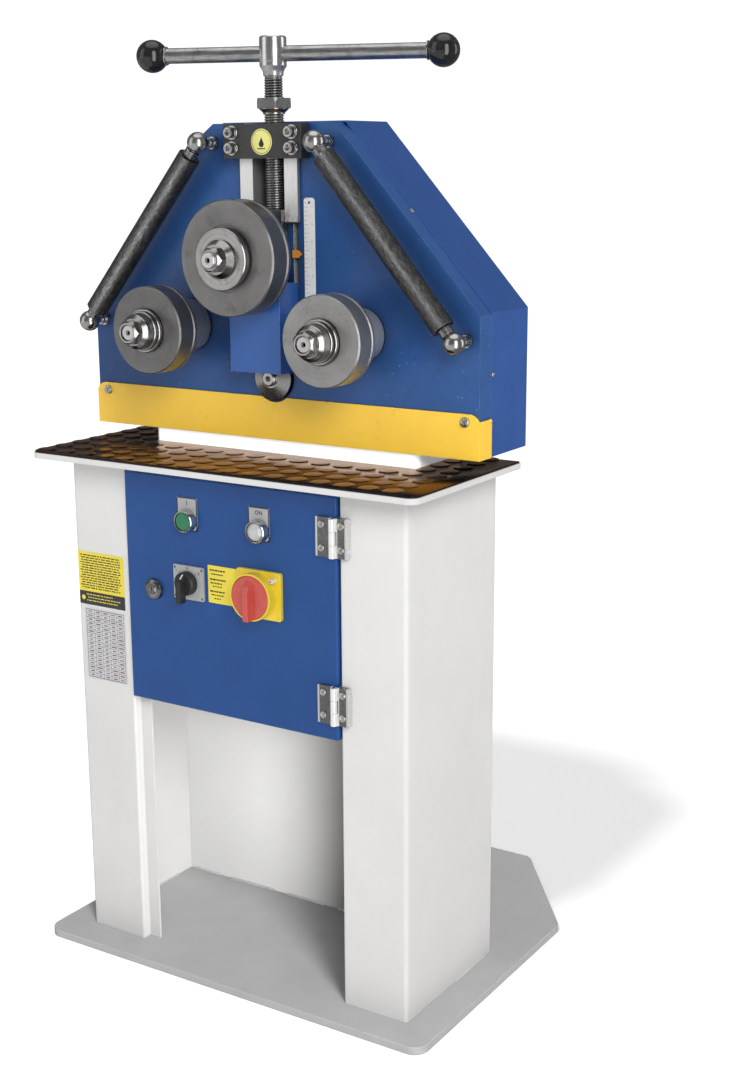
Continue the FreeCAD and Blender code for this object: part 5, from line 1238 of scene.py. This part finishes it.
# ------------------------------------------------------------------ camera
C = Vector((1.1312972, -1.6907050, 1.0157902))
yaw, pitch, roll = math.radians(32.39175), math.radians(13.47826), math.radians(-0.3165167)
fw = Vector((-math.sin(yaw) * math.cos(pitch), math.cos(yaw) * math.cos(pitch), -math.sin(pitch)))
r0 = fw.cross(Vector((0, 0, 1))).normalized()
u0 = r0.cross(fw).normalized()
right = r0 * math.cos(roll) + u0 * math.sin(roll)
upv = u0 * math.cos(roll) - r0 * math.sin(roll)
cam = bpy.data.cameras.new("camera")
cam.sensor_fit = "AUTO"
cam.sensor_width = 36.0
cam.lens = 1582.987 / 1080.0 * 36.0
cam.clip_start, cam.clip_end = 0.05, 60.0
co = bpy.data.objects.new("camera", cam)
co.matrix_world = Matrix(((right.x, upv.x, -fw.x, C.x), (right.y, upv.y, -fw.y, C.y), (right.z, upv.z, -fw.z, C.z),
                          (0, 0, 0, 1)))
bpy.context.scene.collection.objects.link(co)
bpy.context.scene.camera = co

# ------------------------------------------------------------------ floor, lights, surroundings
fl = bpy.data.meshes.new("floor")
S_ = 14.0
fl.from_pydata([(-S_, -S_, -0.0004), (S_, -S_, -0.0004), (S_, S_, -0.0004), (-S_, S_, -0.0004)], [], [(0, 1, 2, 3)])
floor = bpy.data.objects.new("floor", fl)
bpy.context.scene.collection.objects.link(floor)
g = Mat("floor_white")
c = g.mix(g.rng(g.noise(3.0, 3, 0.5), 0.3, 0.7), (0.80, 0.80, 0.80), (0.82, 0.82, 0.82))
g.set(color=c, rough=0.9, spec=0.0, emit=0.47, emit_color=(1, 1, 1))
fl.materials.append(g.m)
floor.visible_glossy = False

lit_floor = bpy.data.collections.new("lit_floor")
lit_floor.objects.link(floor)
skip_floor = bpy.data.collections.new("skip_floor")
skip_floor.objects.link(floor)
skip_floor.collection_objects[0].light_linking.link_state = "EXCLUDE"


def aim(o, frm, to):
    o.location = frm
    o.rotation_euler = (Vector(to) - Vector(frm)).to_track_quat("-Z", "Y").to_euler()


def area(name, az, el, dist, size, power, to=(0, -0.12, 0.55), linking=None, glossy=True, colour=(1, 1, 1)):
    l_ = bpy.data.lights.new(name, "AREA")
    l_.shape = "SQUARE"
    l_.size = size
    l_.energy = power
    l_.color = colour
    o = bpy.data.objects.new(name, l_)
    bpy.context.scene.collection.objects.link(o)
    a, e_ = math.radians(az), math.radians(el)
    frm = Vector(to) + dist * Vector((math.sin(a) * math.cos(e_), -math.cos(a) * math.cos(e_), math.sin(e_)))
    aim(o, frm, to)
    if linking:
        o.light_linking.receiver_collection = linking
    o.visible_glossy = glossy
    o.visible_camera = False
    return o


area("key", 47, 28, 3.5, 1.4, 58, linking=skip_floor, glossy=False)
area("fill", -38, 22, 3.6, 2.2, 12, linking=skip_floor, glossy=False)
# soft even light on the stand alone, without shadows
stand = bpy.data.collections.new("stand_fill")
for n_ in ("base_plate",):
    stand.objects.link(NODES[n_])
stand.objects.link(bpy.data.objects["stand_welds"])
sf = bpy.data.lights.new("stand_fill", "SUN")
sf.energy = 0.3
sf.angle = math.radians(20)
sf.use_shadow = False
sfo = bpy.data.objects.new("stand_fill", sf)
sfo.rotation_euler = Vector((-0.45, 0.86, -0.24)).to_track_quat("-Z", "Y").to_euler()
bpy.context.scene.collection.objects.link(sfo)
sfo.light_linking.receiver_collection = stand
sfo.visible_glossy = False


def soft_sun(name, nodes, energy, direction, shadow, angle=20, gloss=False):
    """Even light that reaches only the given pieces."""
    col_ = bpy.data.collections.new(name)
    for n_ in nodes:
        col_.objects.link(NODES[n_])
    l_ = bpy.data.lights.new(name, "SUN")
    l_.energy, l_.angle, l_.use_shadow = energy, math.radians(angle), shadow
    o = bpy.data.objects.new(name, l_)
    o.rotation_euler = Vector(direction).to_track_quat("-Z", "Y").to_euler()
    bpy.context.scene.collection.objects.link(o)
    o.light_linking.receiver_collection = col_
    o.visible_glossy = gloss


soft_sun("bay_sun", ("rear_panel",), 9.0, (-0.68, 0.70, -0.20), True, 22)
soft_sun("base_sun", ("base_plate",), 3.1, (-0.55, 0.45, -0.70), True, 12)
soft_sun("left_column_sun", ("left_column",), 1.6, (-0.99, 0.03, -0.10), False)
soft_sun("right_column_sun", ("right_column",), 0.18, (-0.80, 0.55, -0.20), False)
soft_sun("left_sleeve_sun", ("left_guide_sleeve",), 1.5, (0.198, 0.882, 0.428), False, 40, True)
soft_sun("right_sleeve_sun", ("right_guide_sleeve",), 1.5, (-0.022, 0.916, -0.407), False, 40, True)
soft_sun("guard_fill", ("guard_strip",), 0.30, (-0.35, 0.90, -0.24), False)
soft_sun("riser_fill", ("riser_plate",), 2.6, (-0.35, 0.90, -0.24), False)
sun = bpy.data.lights.new("floor_sun", "SUN")
sun.energy = 1.6
sun.angle = math.radians(6)
so = bpy.data.objects.new("floor_sun", sun)
so.rotation_euler = Vector((0.008, 0.579, -0.815)).to_track_quat("-Z", "Y").to_euler()
bpy.context.scene.collection.objects.link(so)
so.light_linking.receiver_collection = lit_floor

w = bpy.data.worlds.new("studio")
bpy.context.scene.world = w
w.use_nodes = True
t = w.node_tree
t.nodes.clear()


class W(Mat):
    def __init__(self, tree):
        self.t = tree


wn = W(t)
out = wn.add("ShaderNodeOutputWorld")
tc = wn.add("ShaderNodeTexCoord").outputs["Generated"]
sep = wn.add("ShaderNodeSeparateXYZ", {0: tc})
az = wn.op("DEGREES", wn.op("ARCTAN2", sep.outputs[0], wn.op("MULTIPLY", sep.outputs[1], -1.0)))
el = wn.op("DEGREES", wn.op("ARCSINE", sep.outputs[2]))


def box_light(a0, a1, e0, e1, sa_, se_, value):
    f = wn.op("MULTIPLY", wn.rng(az, a0 - sa_, a0 + sa_, 0, 1, True), wn.rng(az, a1 - sa_, a1 + sa_, 1, 0, True))
    h = wn.op("MULTIPLY", wn.rng(el, e0 - se_, e0 + se_, 0, 1, True), wn.rng(el, e1 - se_, e1 + se_, 1, 0, True))
    return wn.op("MULTIPLY", wn.op("MULTIPLY", f, h), value)


total = wn.rng(el, -90, 90, 0.16, 0.16)
parts = [
    box_light(40, 64, -34, 34, 3, 5, 3.2),        # tall soft box, right front
    box_light(-62, -28, -10, 40, 8, 8, 0.75),     # weaker one, left front
    box_light(-100, 30, -70, -6, 14, 8, 0.42),    # pale floor in front, left
    box_light(118, 134, -18, 26, 4, 6, 1.6),      # narrow strip, right rear
    wn.op("MULTIPLY", wn.rng(el, 52, 66, 0, 1, True), 0.95),   # ceiling
]
for p in parts:
    total = wn.op("ADD", total, p)
glossy_bg = wn.add("ShaderNodeBackground", {1: total})
glossy_bg.inputs[0].default_value = (1, 1, 1, 1)
amb = wn.rng(el, -30, 70, 0.36, 0.42, True)
diff_bg = wn.add("ShaderNodeBackground", {1: amb})
diff_bg.inputs[0].default_value = (1, 1, 1, 1)
cam_bg = wn.add("ShaderNodeBackground", {1: 1.05})
cam_bg.inputs[0].default_value = (1, 1, 1, 1)
lp = wn.add("ShaderNodeLightPath")
m1 = wn.add("ShaderNodeMixShader", {0: lp.outputs["Is Glossy Ray"], 1: diff_bg.outputs[0], 2: glossy_bg.outputs[0]})
m2 = wn.add("ShaderNodeMixShader", {0: lp.outputs["Is Camera Ray"], 1: m1.outputs[0], 2: cam_bg.outputs[0]})
wn.t.links.new(m2.outputs[0], out.inputs[0])
w.cycles.sampling_method = "NONE"

sc = bpy.context.scene
sc.view_settings.view_transform = "Standard"
sc.view_settings.look = "None"
sc.view_settings.exposure = 0.0
sc.view_settings.gamma = 1.0
